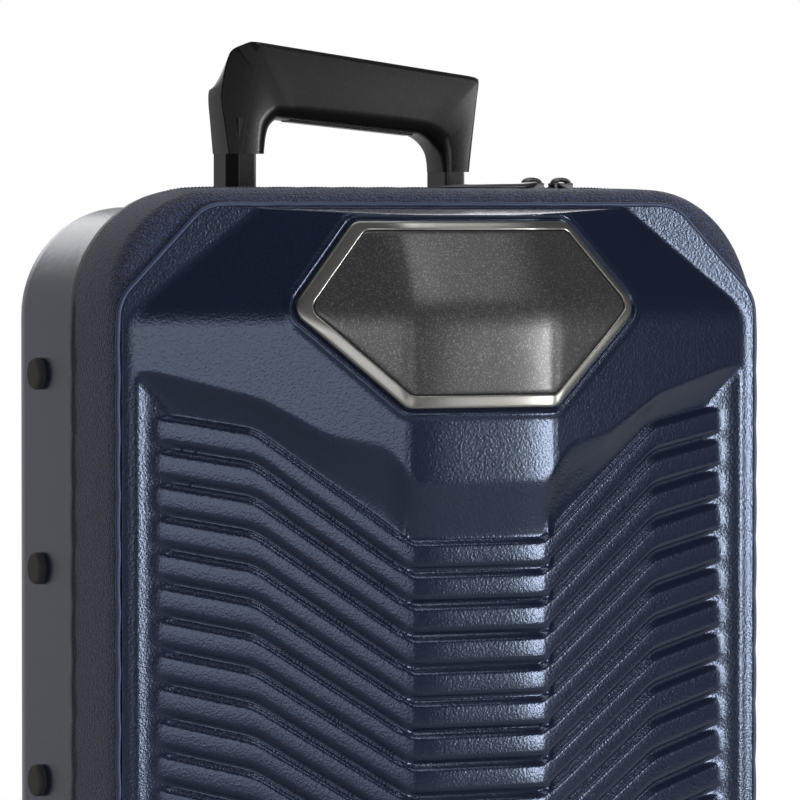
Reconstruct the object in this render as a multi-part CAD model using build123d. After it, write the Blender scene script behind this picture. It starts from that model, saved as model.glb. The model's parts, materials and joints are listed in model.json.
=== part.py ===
from build123d import *
import os

# Hard shell cabin suitcase on four twin-wheel casters, standing upright.
# Millimetres. +Z up, the decorated front faces -Y, the pull handle is near the back (+Y).
# Origin: on the floor, under the middle of the whole object's box.

# ---- driving dimensions -------------------------------------------------------------------
TOP_Z = 530.0            # upper edge of the front shell's face
SHELL_LOW_Z = 62.0       # underside of both shells, on top of the base trays
SHELL_HIGH_Z = 534.0     # top of both shells' rims
SHELL_HALF_WIDTH = 200.0
SPINE_Y = -101.9         # the flat central band of the front shell
RIM_DEPTH = 49.0         # depths are counted backwards from the spine
FLANGE = 46.4            # the cut corners of the rim flatten out at this depth
FABRIC_DEPTH = (49.3, 101.0)
ZIP_DEPTH = 103.5        # the parting plane between the two halves
REAR_DEPTH = (108.0, 205.0)
REAR_CORNER = 62.0
LOW_CORNER = 30.0        # lower corners of both halves, tight enough to stand over the casters
WALL = 3.0

BAND_HALF_WIDTH = 46.5   # central vertical band between the two raked side facets
SIDE_RAKE = 0.30         # depth gained per millimetre sideways
UPPER_RAKE = 0.40        # depth gained per millimetre upwards, above the upper crease
UPPER_CREASE_Z = TOP_Z - 56.0
LOWER_CREASE_Z = 118.0
TOP_BEVEL_DEPTH = 24.0
TOP_BEVEL_RAKE = 0.16

FABRIC_HALF_WIDTH = 203.0
FABRIC_TOP_Z = TOP_Z + 14.0
FABRIC_CORNER = 66.0
FABRIC_WALL = 2.5
COIL_TOP_Z = TOP_Z + 15.5
COIL_CORNER = 75.0
COIL_WIDTH = 2.2         # of each half of the coil
WIDEST_X = 204.5         # side carry handle and side feet stand out this far

BADGE_PROUD = 1.2
BADGE_SUNK = 0.9
BADGE_BAND = 7.5
BADGE_HALF = [(67.0, -3.5), (107.5, -53.0), (46.0, -108.0)]   # right-hand corners: x, z from TOP_Z

WHEEL_RADIUS = 25.0
WHEEL_INNER_X = 4.0
WHEEL_OUTER_X = 15.0
HUB_RADIUS = 17.0
AXLE_RADIUS = 3.0
AXLE_RUNNING_FIT = 0.06
TRAIL = 14.0
SWIVEL_X = 152.0
SWIVEL_DEPTHS = {"f": 60.0, "r": 152.0}
SWIVEL_PIN_RADIUS = 4.0
CROWN_Z = (51.0, 56.3)
TRAY_Z = (57.0, SHELL_LOW_Z)
TRAY_HALF_WIDTH = 176.0

HANDLE_X = 0.9           # the pull handle sits a touch right of centre
TUBE_SPREAD = 69.4
TUBE_DEPTH = 178.25
TUBE_SECTION = (16.2, 25.5)
TUBE_CHAMFER = (4.9, 7.9)
TUBE_GAP = 0.4
TUBE_WALLS = (1.4, 1.3, 1.4)
TUBE_CLEARANCE = 16.0    # kept free by the lining on each side of a tube's centre
CUP_FLOOR_Z = 455.0
CUP_HALF = 86.0          # half length of the tray where the handle parks
CUP_DEPTH = (160.0, 197.0)
CUP_WALL = 2.0
GRIP_DEPTH = (164.3, 192.3)
GRIP_BACK_DROP = 25.0

CARRY_HALF = 75.0        # half length of a carry handle's tray
CARRY_TRAY_HALF_WIDTH = 20.0
CARRY_TRAY_DEPTH = 14.0
CARRY_CLEARANCE = 34.0   # kept free by the lining under a carry handle's tray
TOP_CARRY_DEPTH = 131.0
SIDE_CARRY = (140.0, 290.0)   # depth and height of the side carry handle's centre

LOCK_Z = 430.0
LOCK_DEPTH = 132.0
DIAL_RADIUS = 7.5
DIAL_PITCH = 10.0

SLIDER_X = {"left": 85.6, "right": 104.6}
PULL_LENGTH = 62.0


# ---- helpers --------------------------------------------------------------------------------
def at_depth(depth):
    """Y of a depth behind the spine."""
    return SPINE_Y + depth


def block(x0, x1, d0, d1, z0, z1):
    """Box between two x, two depths and two heights."""
    place = Pos((x0 + x1) / 2, at_depth((d0 + d1) / 2), (z0 + z1) / 2)
    return place * Box(x1 - x0, d1 - d0, z1 - z0)


def upright(profile, d0, d1):
    """Extrude a profile drawn in X and Z through a range of depths."""
    plane = Plane(origin=(0, at_depth(d1), 0), x_dir=(1, 0, 0), z_dir=(0, -1, 0))
    return extrude(plane * profile, amount=d1 - d0, dir=(0, -1, 0))


def rounded(half_width, low, high, radius, inset=0.0):
    """Upright rectangle with wide upper corners and tighter lower ones, shrunk by an inset."""
    half, low, high = half_width - inset, low + inset, high - inset
    corners = Polygon((-half, low), (half, low), (half, high), (-half, high), align=None)
    shape = fillet(corners.vertices().sort_by(Axis.Y)[:2], LOW_CORNER - inset)
    return fillet(shape.vertices().sort_by(Axis.Y)[-2:], radius - inset)


def ring(half_width, low, high, radius, thickness, d0, d1):
    """Upright rounded hoop of one thickness."""
    outer = rounded(half_width, low, high, radius)
    inner = rounded(half_width, low, high, radius, thickness)
    return upright(outer - inner, d0, d1)


def write(name, shape):
    export_step(shape, f"parts/{name}.step")


def group(solids):
    """Several separate solids kept as one node."""
    return Compound(children=list(solids))


# ---- front shell ----------------------------------------------------------------------------
def shell_outline(inset=0.0):
    """Rectangle with large cut corners, the front shell's rim."""
    half = SHELL_HALF_WIDTH - inset
    low, high = SHELL_LOW_Z + inset, SHELL_HIGH_Z - inset
    cut, low_cut = 52.0 - 0.6 * inset, 18.0 - 0.6 * inset
    right = [(half - low_cut, low), (half, low + low_cut), (half, high - cut), (half - cut, high)]
    points = right + [(-x, z) for x, z in reversed(right)]
    outline = Polygon(*points, align=None)
    upper = fillet(outline.vertices().sort_by(Axis.Y)[-4:], 24.0)
    return fillet(upper.vertices().sort_by(Axis.Y)[:4], 12.0)


def facet_planes():
    """Outward normals of the front faces, each with a point it passes through."""
    spine = at_depth(0)
    planes = [((0, spine, 300), (0, -1, 0))]
    planes.append(((0, at_depth(TOP_BEVEL_DEPTH), TOP_Z), (0, -TOP_BEVEL_RAKE, 1)))
    for height, rake in ((UPPER_CREASE_Z, UPPER_RAKE), (LOWER_CREASE_Z, -UPPER_RAKE)):
        planes.append(((0, spine, height), (0, -1, rake)))
        for side in (-1, 1):
            planes.append(((side * BAND_HALF_WIDTH, spine, height), (side * SIDE_RAKE, -1, rake)))
    for side in (-1, 1):
        planes.append(((side * BAND_HALF_WIDTH, spine, 300), (side * SIDE_RAKE, -1, 0)))
    return planes


def faceted_body(margin):
    """The filled front shell, shrunk inwards by a margin."""
    body = upright(shell_outline(max(margin, 0.0)), -2.0, RIM_DEPTH)
    for point, normal in facet_planes():
        direction = Vector(*normal).normalized()
        plane = Plane(origin=Vector(*point) - direction * margin, z_dir=direction)
        body = split(body, bisect_by=plane, keep=Keep.BOTTOM)
    if margin + FLANGE < RIM_DEPTH:
        body = body + upright(shell_outline(max(margin, 0.0)), FLANGE + margin, RIM_DEPTH)
    return body


def hexagon(grow=0.0):
    """Badge outline in X and Z, with rounded corners, grown by an amount."""
    right = [(x, TOP_Z + z) for x, z in BADGE_HALF]
    points = right + [(-x, z) for x, z in reversed(right)]
    shape = Polygon(*points, align=None)
    if grow:
        shape = offset(shape, amount=grow, kind=Kind.INTERSECTION)
    return fillet(shape.vertices(), max(3.0, 7.0 + grow))


def badge_plate(profile, proud, sunk):
    """A plate of one thickness laid over the facets."""
    prism = upright(profile, -6.0, RIM_DEPTH - 6.0)
    return (prism & faceted_body(-proud)) - faceted_body(sunk)


def front_shell():
    pocket = upright(hexagon(0.3), -6.0, RIM_DEPTH) - faceted_body(BADGE_SUNK + 0.1)
    hollow = faceted_body(WALL) + upright(shell_outline(WALL), RIM_DEPTH - 1.0, RIM_DEPTH)
    return faceted_body(0.0) - hollow - pocket


def above_trays(shape):
    """Trim a hoop where the base tray closes it underneath."""
    return shape - block(-250, 250, 0, 210, SHELL_LOW_Z - 30, SHELL_LOW_Z)


def front_piping():
    outer = offset(shell_outline(), amount=2.6)
    return above_trays(upright(outer - shell_outline(), RIM_DEPTH - 3.0, RIM_DEPTH + 0.2))


def front_gusset():
    """Fabric wall between the hard front and the zip, with a front flange behind the rim."""
    d0, d1 = FABRIC_DEPTH
    outer = rounded(FABRIC_HALF_WIDTH, SHELL_LOW_Z, FABRIC_TOP_Z, FABRIC_CORNER)
    inner = rounded(FABRIC_HALF_WIDTH, SHELL_LOW_Z, FABRIC_TOP_Z, FABRIC_CORNER, FABRIC_WALL)
    flange = upright(outer - shell_outline(WALL), d0, d0 + FABRIC_WALL)
    return flange + upright(outer - inner, d0 + FABRIC_WALL, d1)


def zip_half(tape_depths, coil_depths):
    """Woven tape with its half of the coil on top."""
    tape = ring(FABRIC_HALF_WIDTH, SHELL_LOW_Z, FABRIC_TOP_Z - 0.5, 67.0, 2.0, *tape_depths)
    coil = ring(WIDEST_X - 0.5, 60.5, COIL_TOP_Z, COIL_CORNER, 3.2, *coil_depths)
    return tape + coil


def lining_body(inset):
    """Space inside the front half, shrunk by an inset."""
    wide = rounded(FABRIC_HALF_WIDTH, SHELL_LOW_Z, FABRIC_TOP_Z, FABRIC_CORNER, 3.5 + inset)
    behind = upright(wide, FABRIC_DEPTH[0] + FABRIC_WALL + 0.5 + inset, FABRIC_DEPTH[1])
    throat = upright(shell_outline(WALL + 0.7 + inset), RIM_DEPTH - 0.5, RIM_DEPTH + 8.0)
    return faceted_body(WALL + 0.7 + inset) + throat + behind


# ---- rear shell -----------------------------------------------------------------------------
def rear_solid(inset):
    """The filled rear shell with rolled back edges, shrunk by an inset."""
    profile = rounded(SHELL_HALF_WIDTH, SHELL_LOW_Z, SHELL_HIGH_Z, REAR_CORNER, inset)
    solid = upright(profile, REAR_DEPTH[0], REAR_DEPTH[1] - inset)
    back = solid.faces().sort_by(Axis.Y)[-1]
    return fillet(back.edges(), 26.0 - inset)


def rear_avoid(inset):
    """Blocks that the rear lining steps round: handle cup, tubes, carry trays and lock."""
    front, back = REAR_DEPTH[0] - 1, REAR_DEPTH[1] + 1
    side, top, bottom = SHELL_HALF_WIDTH + 6, SHELL_HIGH_Z + 6, SHELL_LOW_Z - 2
    behind = CUP_DEPTH[0] - CUP_WALL - 1 - inset
    cup = CUP_HALF + CUP_WALL + 0.5 + inset
    solids = [block(HANDLE_X - cup, HANDLE_X + cup, behind, back, CUP_FLOOR_Z - 8 - inset, top)]
    for sign in (-1, 1):
        centre, reach = HANDLE_X + sign * TUBE_SPREAD, TUBE_CLEARANCE + inset
        solids.append(block(centre - reach, centre + reach, behind + 3.5, back, bottom, CUP_FLOOR_Z))
    reach, drop = CARRY_HALF + 5 + inset, CARRY_CLEARANCE + inset
    solids.append(block(-reach, reach, front, TOP_CARRY_DEPTH + 25 + inset, SHELL_HIGH_Z - drop, top))
    depth, height = SIDE_CARRY
    solids.append(block(SHELL_HALF_WIDTH - drop, side, front, depth + 23 + inset,
                        height - reach - 2, height + reach + 2))
    reach = LOCK_HALF[1] + 2 + inset
    solids.append(block(LOCK_X[0] - 2 - inset, side, front, LOCK_DEPTH + 16 + inset,
                        LOCK_Z - reach, LOCK_Z + reach))
    solids.append(block(-100, 100, behind, back, bottom, FOOT_Z[1] + 3 + inset))
    return solids


def rear_lining():
    outer = rear_solid(WALL + 0.6)
    inner = rear_solid(WALL + 1.8)
    for solid in rear_avoid(0.0):
        outer = outer - solid
    for solid in rear_avoid(1.2):
        inner = inner - solid
    return outer - inner


def handle_cup():
    """Tray sunk into the top of the rear shell, where the pull handle parks."""
    d0, d1 = CUP_DEPTH
    half = CUP_HALF + CUP_WALL
    walls = block(HANDLE_X - half, HANDLE_X + half, d0 - CUP_WALL, d1 + CUP_WALL,
                  CUP_FLOOR_Z - 3, SHELL_HIGH_Z + 1)
    lip = block(HANDLE_X - half - 3, HANDLE_X + half + 3, d0 - 5, d1 + 4.5,
                SHELL_HIGH_Z + 0.1, SHELL_HIGH_Z + 2.1)
    cup = walls + fillet(lip.edges().filter_by(Axis.Z), 6.0)
    cup = cup - block(HANDLE_X - CUP_HALF, HANDLE_X + CUP_HALF, d0, d1, CUP_FLOOR_Z, SHELL_HIGH_Z + 5)
    for side in (-1, 1):
        cup = cup - tube(side, 2 * TUBE_GAP + sum(TUBE_WALLS[1:]), None,
                         CUP_FLOOR_Z - 10, CUP_FLOOR_Z + 1)
    return cup


# ---- pull handle ----------------------------------------------------------------------------
def tube_section(side, grow):
    """Slim tube section with its outer front corner cut, grown by an amount."""
    half_x, half_y = TUBE_SECTION[0] / 2, TUBE_SECTION[1] / 2
    cut_x, cut_y = TUBE_CHAMFER
    points = [(-half_x, -half_y), (half_x - cut_x, -half_y), (half_x, -half_y + cut_y),
              (half_x, half_y), (-half_x, half_y)]
    points = [(side * x, y) for x, y in points]
    shape = fillet(Polygon(*points, align=None).vertices(), 1.8)
    return offset(shape, amount=grow) if grow else shape


def tube(side, grow, wall, low, high):
    """Upright tube of one wall thickness, or filled where the wall is None."""
    section = tube_section(side, grow)
    if wall is not None:
        section = section - tube_section(side, grow - wall)
    place = Pos(HANDLE_X + side * TUBE_SPREAD, at_depth(TUBE_DEPTH), low)
    return place * extrude(section, amount=high - low, dir=(0, 0, 1))


MIDDLE_GROW = TUBE_GAP + TUBE_WALLS[1]
OUTER_GROW = MIDDLE_GROW + TUBE_GAP + TUBE_WALLS[2]
INNER_TOP = {-1: TOP_Z + 55.0, 1: TOP_Z + 40.0}
PLUG_Z = (190.0, 206.0)
FOOT_Z = (88.0, 98.0)
FOOT_HALF = 93.0
FOOT_FRONT_DEPTH = 162.0

GRIP_OUTLINE = [(-77.3, 34.7), (-80.7, 71.0), (-76.0, 96.5), (-62.0, 99.5), (79.6, 80.8),
                (82.0, 77.6), (77.9, 24.7), (61.4, 24.7), (58.5, 38.0), (46.0, 46.4),
                (-43.0, 54.8), (-54.5, 48.5), (-57.4, 34.7)]
UNDERSIDE_SLOPE = (46.4 - 54.8) / (46.0 + 43.0)
BUTTON_X = (-36.0, 44.0)
BUTTON_TRAVEL = 3.0


def underside_z(x):
    return TOP_Z + 54.8 + UNDERSIDE_SLOPE * (x + 43.0)


def button_profile(grow, low, high):
    """Sloping bar in X and Z along the grip's underside."""
    x0, x1 = BUTTON_X[0] - grow, BUTTON_X[1] + grow
    points = [(x0, underside_z(x0) + low), (x1, underside_z(x1) + low),
              (x1, underside_z(x1) + high), (x0, underside_z(x0) + high)]
    return Polygon(*points, align=None)


def handle_grip():
    outline = Polygon(*[(x, TOP_Z + z) for x, z in GRIP_OUTLINE], align=None)
    grip = upright(fillet(outline.vertices(), 2.0), *GRIP_DEPTH)
    # the top falls away to the back in one slanted plane
    slope = (80.8 - 99.5) / (79.6 + 62.0)
    fall = -GRIP_BACK_DROP / (GRIP_DEPTH[1] - GRIP_DEPTH[0])
    front_top = (-62.0, at_depth(GRIP_DEPTH[0]), TOP_Z + 99.5)
    grip = split(grip, bisect_by=Plane(origin=front_top, z_dir=(-slope, -fall, 1)),
                 keep=Keep.BOTTOM)
    for side in (-1, 1):
        grip = grip - tube(side, 0.0, None, TOP_Z + 20.0, INNER_TOP[side])
    pocket = button_profile(0.35, -2.0, 4.5 + BUTTON_TRAVEL + 0.4)
    return grip - upright(pocket, TUBE_DEPTH - 6.35, TUBE_DEPTH + 6.35)


def grip_button():
    return upright(button_profile(0.0, -0.8, 4.5), TUBE_DEPTH - 6.0, TUBE_DEPTH + 6.0)


def release_rod(side):
    place = Pos(HANDLE_X + side * TUBE_SPREAD, at_depth(TUBE_DEPTH), (190.0 + 560.0) / 2)
    return place * Cylinder(2.0, 560.0 - 190.0)


def inner_plug(side):
    plug = tube(side, -TUBE_WALLS[0], None, *PLUG_Z)
    place = Pos(HANDLE_X + side * TUBE_SPREAD, at_depth(TUBE_DEPTH), 196.0)
    return plug - place * Cylinder(2.4, 40.0)


# ---- carry handles --------------------------------------------------------------------------
# Each set is drawn lying on a plane: the handle runs along local x and pulls out along local z.
GUIDE_U = (56.0, 71.0)
LEG_U = (60.3, 67.7)


def local_box(x0, x1, half_y, z0, z1):
    return Pos((x0 + x1) / 2, 0, (z0 + z1) / 2) * Box(x1 - x0, 2 * half_y, z1 - z0)


def carry_tray(plane):
    """Solid to add to the shell and the void to take from it."""
    outer = local_box(-CARRY_HALF - 2, CARRY_HALF + 2, CARRY_TRAY_HALF_WIDTH + 2,
                      -CARRY_TRAY_DEPTH - 2.4, -0.5)
    void = local_box(-CARRY_HALF, CARRY_HALF, CARRY_TRAY_HALF_WIDTH, -CARRY_TRAY_DEPTH, 2)
    for side in (-1, 1):
        low, high = sorted((side * GUIDE_U[0], side * GUIDE_U[1]))
        void = void + local_box(low, high, 10.0, -CARRY_TRAY_DEPTH - 5, -5)
    return plane * outer, plane * void


def carry_guides(plane):
    solids = []
    for side in (-1, 1):
        low, high = sorted((side * GUIDE_U[0], side * GUIDE_U[1]))
        guide = local_box(low, high, 10.0, -32.0, -3.3)
        low, high = sorted((side * (LEG_U[0] - 0.3), side * (LEG_U[1] + 0.3)))
        solids.append(plane * (guide - local_box(low, high, 6.3, -40.0, 0.0)))
    return group(solids)


def carry_handle(plane):
    bar = local_box(-73.0, 73.0, 9.0, -3.0, WIDEST_X - SHELL_HALF_WIDTH)
    bar = fillet(bar.edges().filter_by(Axis.Z), 5.0)
    bar = fillet(bar.faces().sort_by(Axis.Z)[-1].edges(), 2.0)
    for side in (-1, 1):
        low, high = sorted((side * LEG_U[0], side * LEG_U[1]))
        bar = bar + local_box(low, high, 6.0, -30.0, -2.0)
    return plane * bar


TOP_CARRY = Plane(origin=(0, at_depth(TOP_CARRY_DEPTH), SHELL_HIGH_Z),
                  x_dir=(1, 0, 0), z_dir=(0, 0, 1))
SIDE_CARRY_PLANE = Plane(origin=(SHELL_HALF_WIDTH, at_depth(SIDE_CARRY[0]), SIDE_CARRY[1]),
                         x_dir=(0, 0, 1), z_dir=(1, 0, 0))


# ---- combination lock on the right side -----------------------------------------------------
LOCK_X = (184.0, 201.2)
LOCK_HALF = (13.0, 32.0)      # half depth and half height
DIAL_X = 194.5
BUTTON_Z = 406.0


def dial(index, radius, thickness, bore):
    place = Pos(DIAL_X, at_depth(LOCK_DEPTH), LOCK_Z + (index - 1) * DIAL_PITCH)
    return place * (Cylinder(radius, thickness) - Cylinder(bore, thickness + 1))


def lock_block(x0, x1):
    half_depth, half_height = LOCK_HALF
    return block(x0, x1, LOCK_DEPTH - half_depth, LOCK_DEPTH + half_depth,
                 LOCK_Z - half_height, LOCK_Z + half_height)


def lock_body():
    body = lock_block(*LOCK_X)
    for index in range(3):
        place = Pos(DIAL_X, at_depth(LOCK_DEPTH), LOCK_Z + (index - 1) * DIAL_PITCH)
        body = body - place * Cylinder(DIAL_RADIUS + 0.5, 5.2)
    body = body + Pos(DIAL_X, at_depth(LOCK_DEPTH), LOCK_Z) * Cylinder(1.5, 38.0)
    body = body - block(188.0, 206.0, LOCK_DEPTH - 6.3, LOCK_DEPTH + 6.3,
                        BUTTON_Z - 3.8, BUTTON_Z + 3.8)
    for z in (LOCK_Z + 20, LOCK_Z + 26):
        body = body - block(191.0, 198.5, LOCK_DEPTH - 14, LOCK_DEPTH - 2, z - 1.5, z + 1.5)
    return body


def lock_button():
    button = block(191.0, 202.4, LOCK_DEPTH - 6, LOCK_DEPTH + 6, BUTTON_Z - 3.5, BUTTON_Z + 3.5)
    return fillet(button.faces().sort_by(Axis.X)[-1].edges(), 0.8)


def lock_opening():
    return lock_block(LOCK_X[0] - 1, SHELL_HALF_WIDTH + 6)


def rear_shell():
    shell = rear_solid(0.0) - rear_solid(WALL)
    for plane in (TOP_CARRY, SIDE_CARRY_PLANE):
        outer, void = carry_tray(plane)
        shell = shell + outer - void
    half = CUP_HALF + CUP_WALL
    shell = shell - block(HANDLE_X - half, HANDLE_X + half, CUP_DEPTH[0] - CUP_WALL,
                          CUP_DEPTH[1] + CUP_WALL, CUP_FLOOR_Z - 3, SHELL_HIGH_Z + 6)
    return shell - lock_opening()


# ---- casters --------------------------------------------------------------------------------
def swivel_spot(half, side):
    return side * SWIVEL_X, at_depth(SWIVEL_DEPTHS[half])


def fork(x, y):
    """Swivelling crown with one central leg that holds the axle between two wheels."""
    crown = Pos(x, y, sum(CROWN_Z) / 2) * Cylinder(19.0, CROWN_Z[1] - CROWN_Z[0])
    crown = fillet(crown.faces().sort_by(Axis.Z)[-1].edges(), 1.6)
    leg_profile = Polygon((8.0, CROWN_Z[0] + 1), (18.5, CROWN_Z[0] + 1), (TRAIL + 6.8, 25.0),
                          (TRAIL - 6.8, 25.0), align=None)
    leg_profile = leg_profile + Pos(TRAIL, 25.0) * Circle(7.0)
    side_plane = Plane(origin=(x - 3.2, y, 0), x_dir=(0, 1, 0), z_dir=(1, 0, 0))
    leg = extrude(side_plane * leg_profile, amount=6.4, dir=(1, 0, 0))
    pin_hole = Pos(x, y, 54) * Cylinder(SWIVEL_PIN_RADIUS + 0.06, 12)
    axle_hole = Pos(x, y + TRAIL, WHEEL_RADIUS) * Rot(0, 90, 0) * Cylinder(AXLE_RADIUS, 20)
    return crown + leg - pin_hole - axle_hole


def axle(x, y):
    shaft = Cylinder(AXLE_RADIUS, 2 * WHEEL_OUTER_X + 2)
    for side in (-1, 1):
        shaft = shaft + Pos(0, 0, side * (WHEEL_OUTER_X + 1.1)) * Cylinder(5.0, 1.6)
    return Pos(x, y + TRAIL, WHEEL_RADIUS) * Rot(0, 90, 0) * shaft


def wheel_pair(x, y, outer, inner, shrink):
    """Two rings on one axle, each between an inner and an outer radius."""
    width = WHEEL_OUTER_X - WHEEL_INNER_X - 2 * shrink
    solids = []
    for side in (-1, 1):
        centre = x + side * (WHEEL_INNER_X + WHEEL_OUTER_X) / 2
        wheel = Cylinder(outer, width)
        if outer == WHEEL_RADIUS:
            wheel = fillet(wheel.edges(), 2.5)
        wheel = wheel - Cylinder(inner, width + 2)
        solids.append(Pos(centre, y + TRAIL, WHEEL_RADIUS) * Rot(0, 90, 0) * wheel)
    return group(solids)


def base_tray(d0, d1, half):
    """Moulded floor plate that carries two casters, with kick guards round the swivels."""
    plate = block(-TRAY_HALF_WIDTH, TRAY_HALF_WIDTH, d0, d1, *TRAY_Z)
    plate = fillet(plate.edges().filter_by(Axis.Z), 14.0)
    for side in (-1, 1):
        x, y = swivel_spot(half, side)
        plate = plate - Pos(x, y, 59) * Cylinder(SWIVEL_PIN_RADIUS, 12)
    return plate


def swivel_pins(half):
    solids = []
    for side in (-1, 1):
        x, y = swivel_spot(half, side)
        shank = Pos(x, y, (50 + TRAY_Z[1]) / 2) * Cylinder(SWIVEL_PIN_RADIUS, TRAY_Z[1] - 50)
        solids.append(shank + Pos(x, y, 50.1) * Cylinder(5.8, 1.4))
    return group(solids)


def tray_screws(depths):
    solids = []
    for x in (-120, -40, 40, 120):
        for depth in depths:
            y = at_depth(depth)
            shank = Pos(x, y, 60.5) * Cylinder(1.6, 9.0)
            solids.append(shank + Pos(x, y, 56.2) * Cylinder(3.4, 1.6))
    return group(solids)


# ---- zip sliders ----------------------------------------------------------------------------
BAIL_Z = TOP_Z + 18.9


def slider(x):
    """Inverted channel that rides over the coil, with a bridge for the pull."""
    body = block(x - 6, x + 6, ZIP_DEPTH - 4.2, ZIP_DEPTH + 4.2, FABRIC_TOP_Z + 0.3,
                 COIL_TOP_Z + 1.7)
    body = body - block(x - 8, x + 8, ZIP_DEPTH - 2.7, ZIP_DEPTH + 2.7, FABRIC_TOP_Z - 2,
                        COIL_TOP_Z + 0.3)
    arch = Pos(x, COIL_TOP_Z + 1.0) * Ellipse(7.0, 4.9)
    window = Pos(x, BAIL_Z) * RectangleRounded(6.0, 2.8, 1.2)
    below = Pos(x, COIL_TOP_Z - 2.4) * Rectangle(20, 7)
    return body + upright(arch - window - below, ZIP_DEPTH - 1.5, ZIP_DEPTH + 1.5)


def zip_pull(x, side):
    """Long slim pull lying along the zip, its cross pin through the slider's bridge."""
    pin = upright(Pos(x, BAIL_Z) * Circle(1.0), ZIP_DEPTH - 4.4, ZIP_DEPTH + 4.4)
    blade_z = (COIL_TOP_Z + 2.3, COIL_TOP_Z + 5.1)
    solid = pin
    for d in (-3.7, 3.7):
        x0, x1 = sorted((x - side * 1.2, x + side * 12))
        solid = solid + block(x0, x1, ZIP_DEPTH + d - 0.9, ZIP_DEPTH + d + 0.9, *blade_z)
    x0, x1 = sorted((x + side * 9, x + side * PULL_LENGTH))
    blade = block(x0, x1, ZIP_DEPTH - 4.6, ZIP_DEPTH + 4.6, blade_z[0], blade_z[1] - 0.6)
    return solid + fillet(blade.edges().filter_by(Axis.Z), 1.5)


# ---- inside the rear half -------------------------------------------------------------------
STRAP_HEIGHTS = (170.0, 482.0)
STRAP_END = 187.0
STRAP_HALF_WIDTH = 12.5
STRAP_DEPTH = (109.0, 110.4)
BUCKLE_HALF = (22.0, 16.0)
BUCKLE_DEPTH = (108.6, 113.6)


def packing_straps():
    solids = []
    for z in STRAP_HEIGHTS:
        for x0, x1 in ((-STRAP_END, -BUCKLE_HALF[0]), (BUCKLE_HALF[0], STRAP_END)):
            solids.append(block(x0, x1, *STRAP_DEPTH, z - STRAP_HALF_WIDTH, z + STRAP_HALF_WIDTH))
    return group(solids)


def strap_buckles():
    solids = []
    for z in STRAP_HEIGHTS:
        buckle = block(-BUCKLE_HALF[0], BUCKLE_HALF[0], *BUCKLE_DEPTH,
                       z - BUCKLE_HALF[1], z + BUCKLE_HALF[1])
        solids.append(fillet(buckle.edges().filter_by(Axis.Y), 5.0))
    return group(solids)


def side_feet():
    """Rubber studs on the left side, to rest the case on when it lies down."""
    solids = []
    for z in (120, 210, 330, 440):
        foot = Pos(-(SHELL_HALF_WIDTH + WIDEST_X) / 2, at_depth(158), z) * Rot(0, 90, 0)
        stud = Cylinder(9.0, WIDEST_X - SHELL_HALF_WIDTH)
        solids.append(foot * fillet(stud.edges().sort_by(Axis.Z)[:1], 1.5))
    return group(solids)


# ---- write every node -----------------------------------------------------------------------
os.makedirs("parts", exist_ok=True)

write("front_shell", front_shell())
write("front_piping", front_piping())
write("front_gusset", front_gusset())
write("badge_frame", badge_plate(hexagon() - hexagon(-BADGE_BAND), BADGE_PROUD, BADGE_SUNK))
write("badge_panel", badge_plate(hexagon(-BADGE_BAND - 0.2), 0.7, BADGE_SUNK))
write("front_lining", lining_body(0.0) - lining_body(1.2))
write("front_zip", zip_half((FABRIC_DEPTH[1] + 0.1, ZIP_DEPTH - 0.2),
                            (ZIP_DEPTH - COIL_WIDTH, ZIP_DEPTH - 0.2)))
write("front_base_tray", base_tray(34.0, 101.0, "f"))
write("front_swivel_pins", swivel_pins("f"))
write("front_screws", tray_screws((90.0,)))

write("rear_shell", rear_shell())
write("rear_piping", above_trays(ring(SHELL_HALF_WIDTH + 2.4, SHELL_LOW_Z - 2.4,
                                      SHELL_HIGH_Z + 2.4, REAR_CORNER + 2.4, 2.4,
                                      REAR_DEPTH[0] + 0.1, REAR_DEPTH[0] + 3.0)))
write("rear_zip", zip_half((ZIP_DEPTH + 0.2, REAR_DEPTH[0]),
                           (ZIP_DEPTH + 0.2, ZIP_DEPTH + COIL_WIDTH)))
write("rear_lining", rear_lining())
write("rear_base_tray", base_tray(109.0, 196.0, "r"))
write("rear_swivel_pins", swivel_pins("r"))
write("rear_screws", tray_screws((115.0, 180.0)))
write("packing_straps", packing_straps())
write("strap_buckles", strap_buckles())
write("side_feet", side_feet())

write("handle_cup", handle_cup())
write("outer_tubes", group(tube(s, OUTER_GROW, TUBE_WALLS[2], FOOT_Z[1], CUP_FLOOR_Z)
                           for s in (-1, 1)))
write("outer_collars", group(tube(s, OUTER_GROW + 1.0, TUBE_WALLS[2] + 1.0, CUP_FLOOR_Z,
                                  CUP_FLOOR_Z + 6) for s in (-1, 1)))
write("tube_foot", block(HANDLE_X - FOOT_HALF, HANDLE_X + FOOT_HALF, FOOT_FRONT_DEPTH,
                         REAR_DEPTH[1] - WALL, *FOOT_Z))
write("middle_tubes", group(tube(s, MIDDLE_GROW, TUBE_WALLS[1], FOOT_Z[1] + 4, CUP_FLOOR_Z + 6.4)
                            for s in (-1, 1)))
write("middle_collars", group(tube(s, OUTER_GROW, OUTER_GROW - TUBE_GAP, CUP_FLOOR_Z + 6.4,
                                   CUP_FLOOR_Z + 12) for s in (-1, 1)))
write("inner_tubes", group(tube(s, 0.0, TUBE_WALLS[0], PLUG_Z[0], INNER_TOP[s])
                           for s in (-1, 1)))
write("inner_plugs", group(inner_plug(s) for s in (-1, 1)))
write("handle_grip", handle_grip())
write("grip_button", grip_button())
write("release_rods", group(release_rod(s) for s in (-1, 1)))

write("top_carry_guides", carry_guides(TOP_CARRY))
write("top_carry_handle", carry_handle(TOP_CARRY))
write("side_carry_guides", carry_guides(SIDE_CARRY_PLANE))
write("side_carry_handle", carry_handle(SIDE_CARRY_PLANE))

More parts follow.
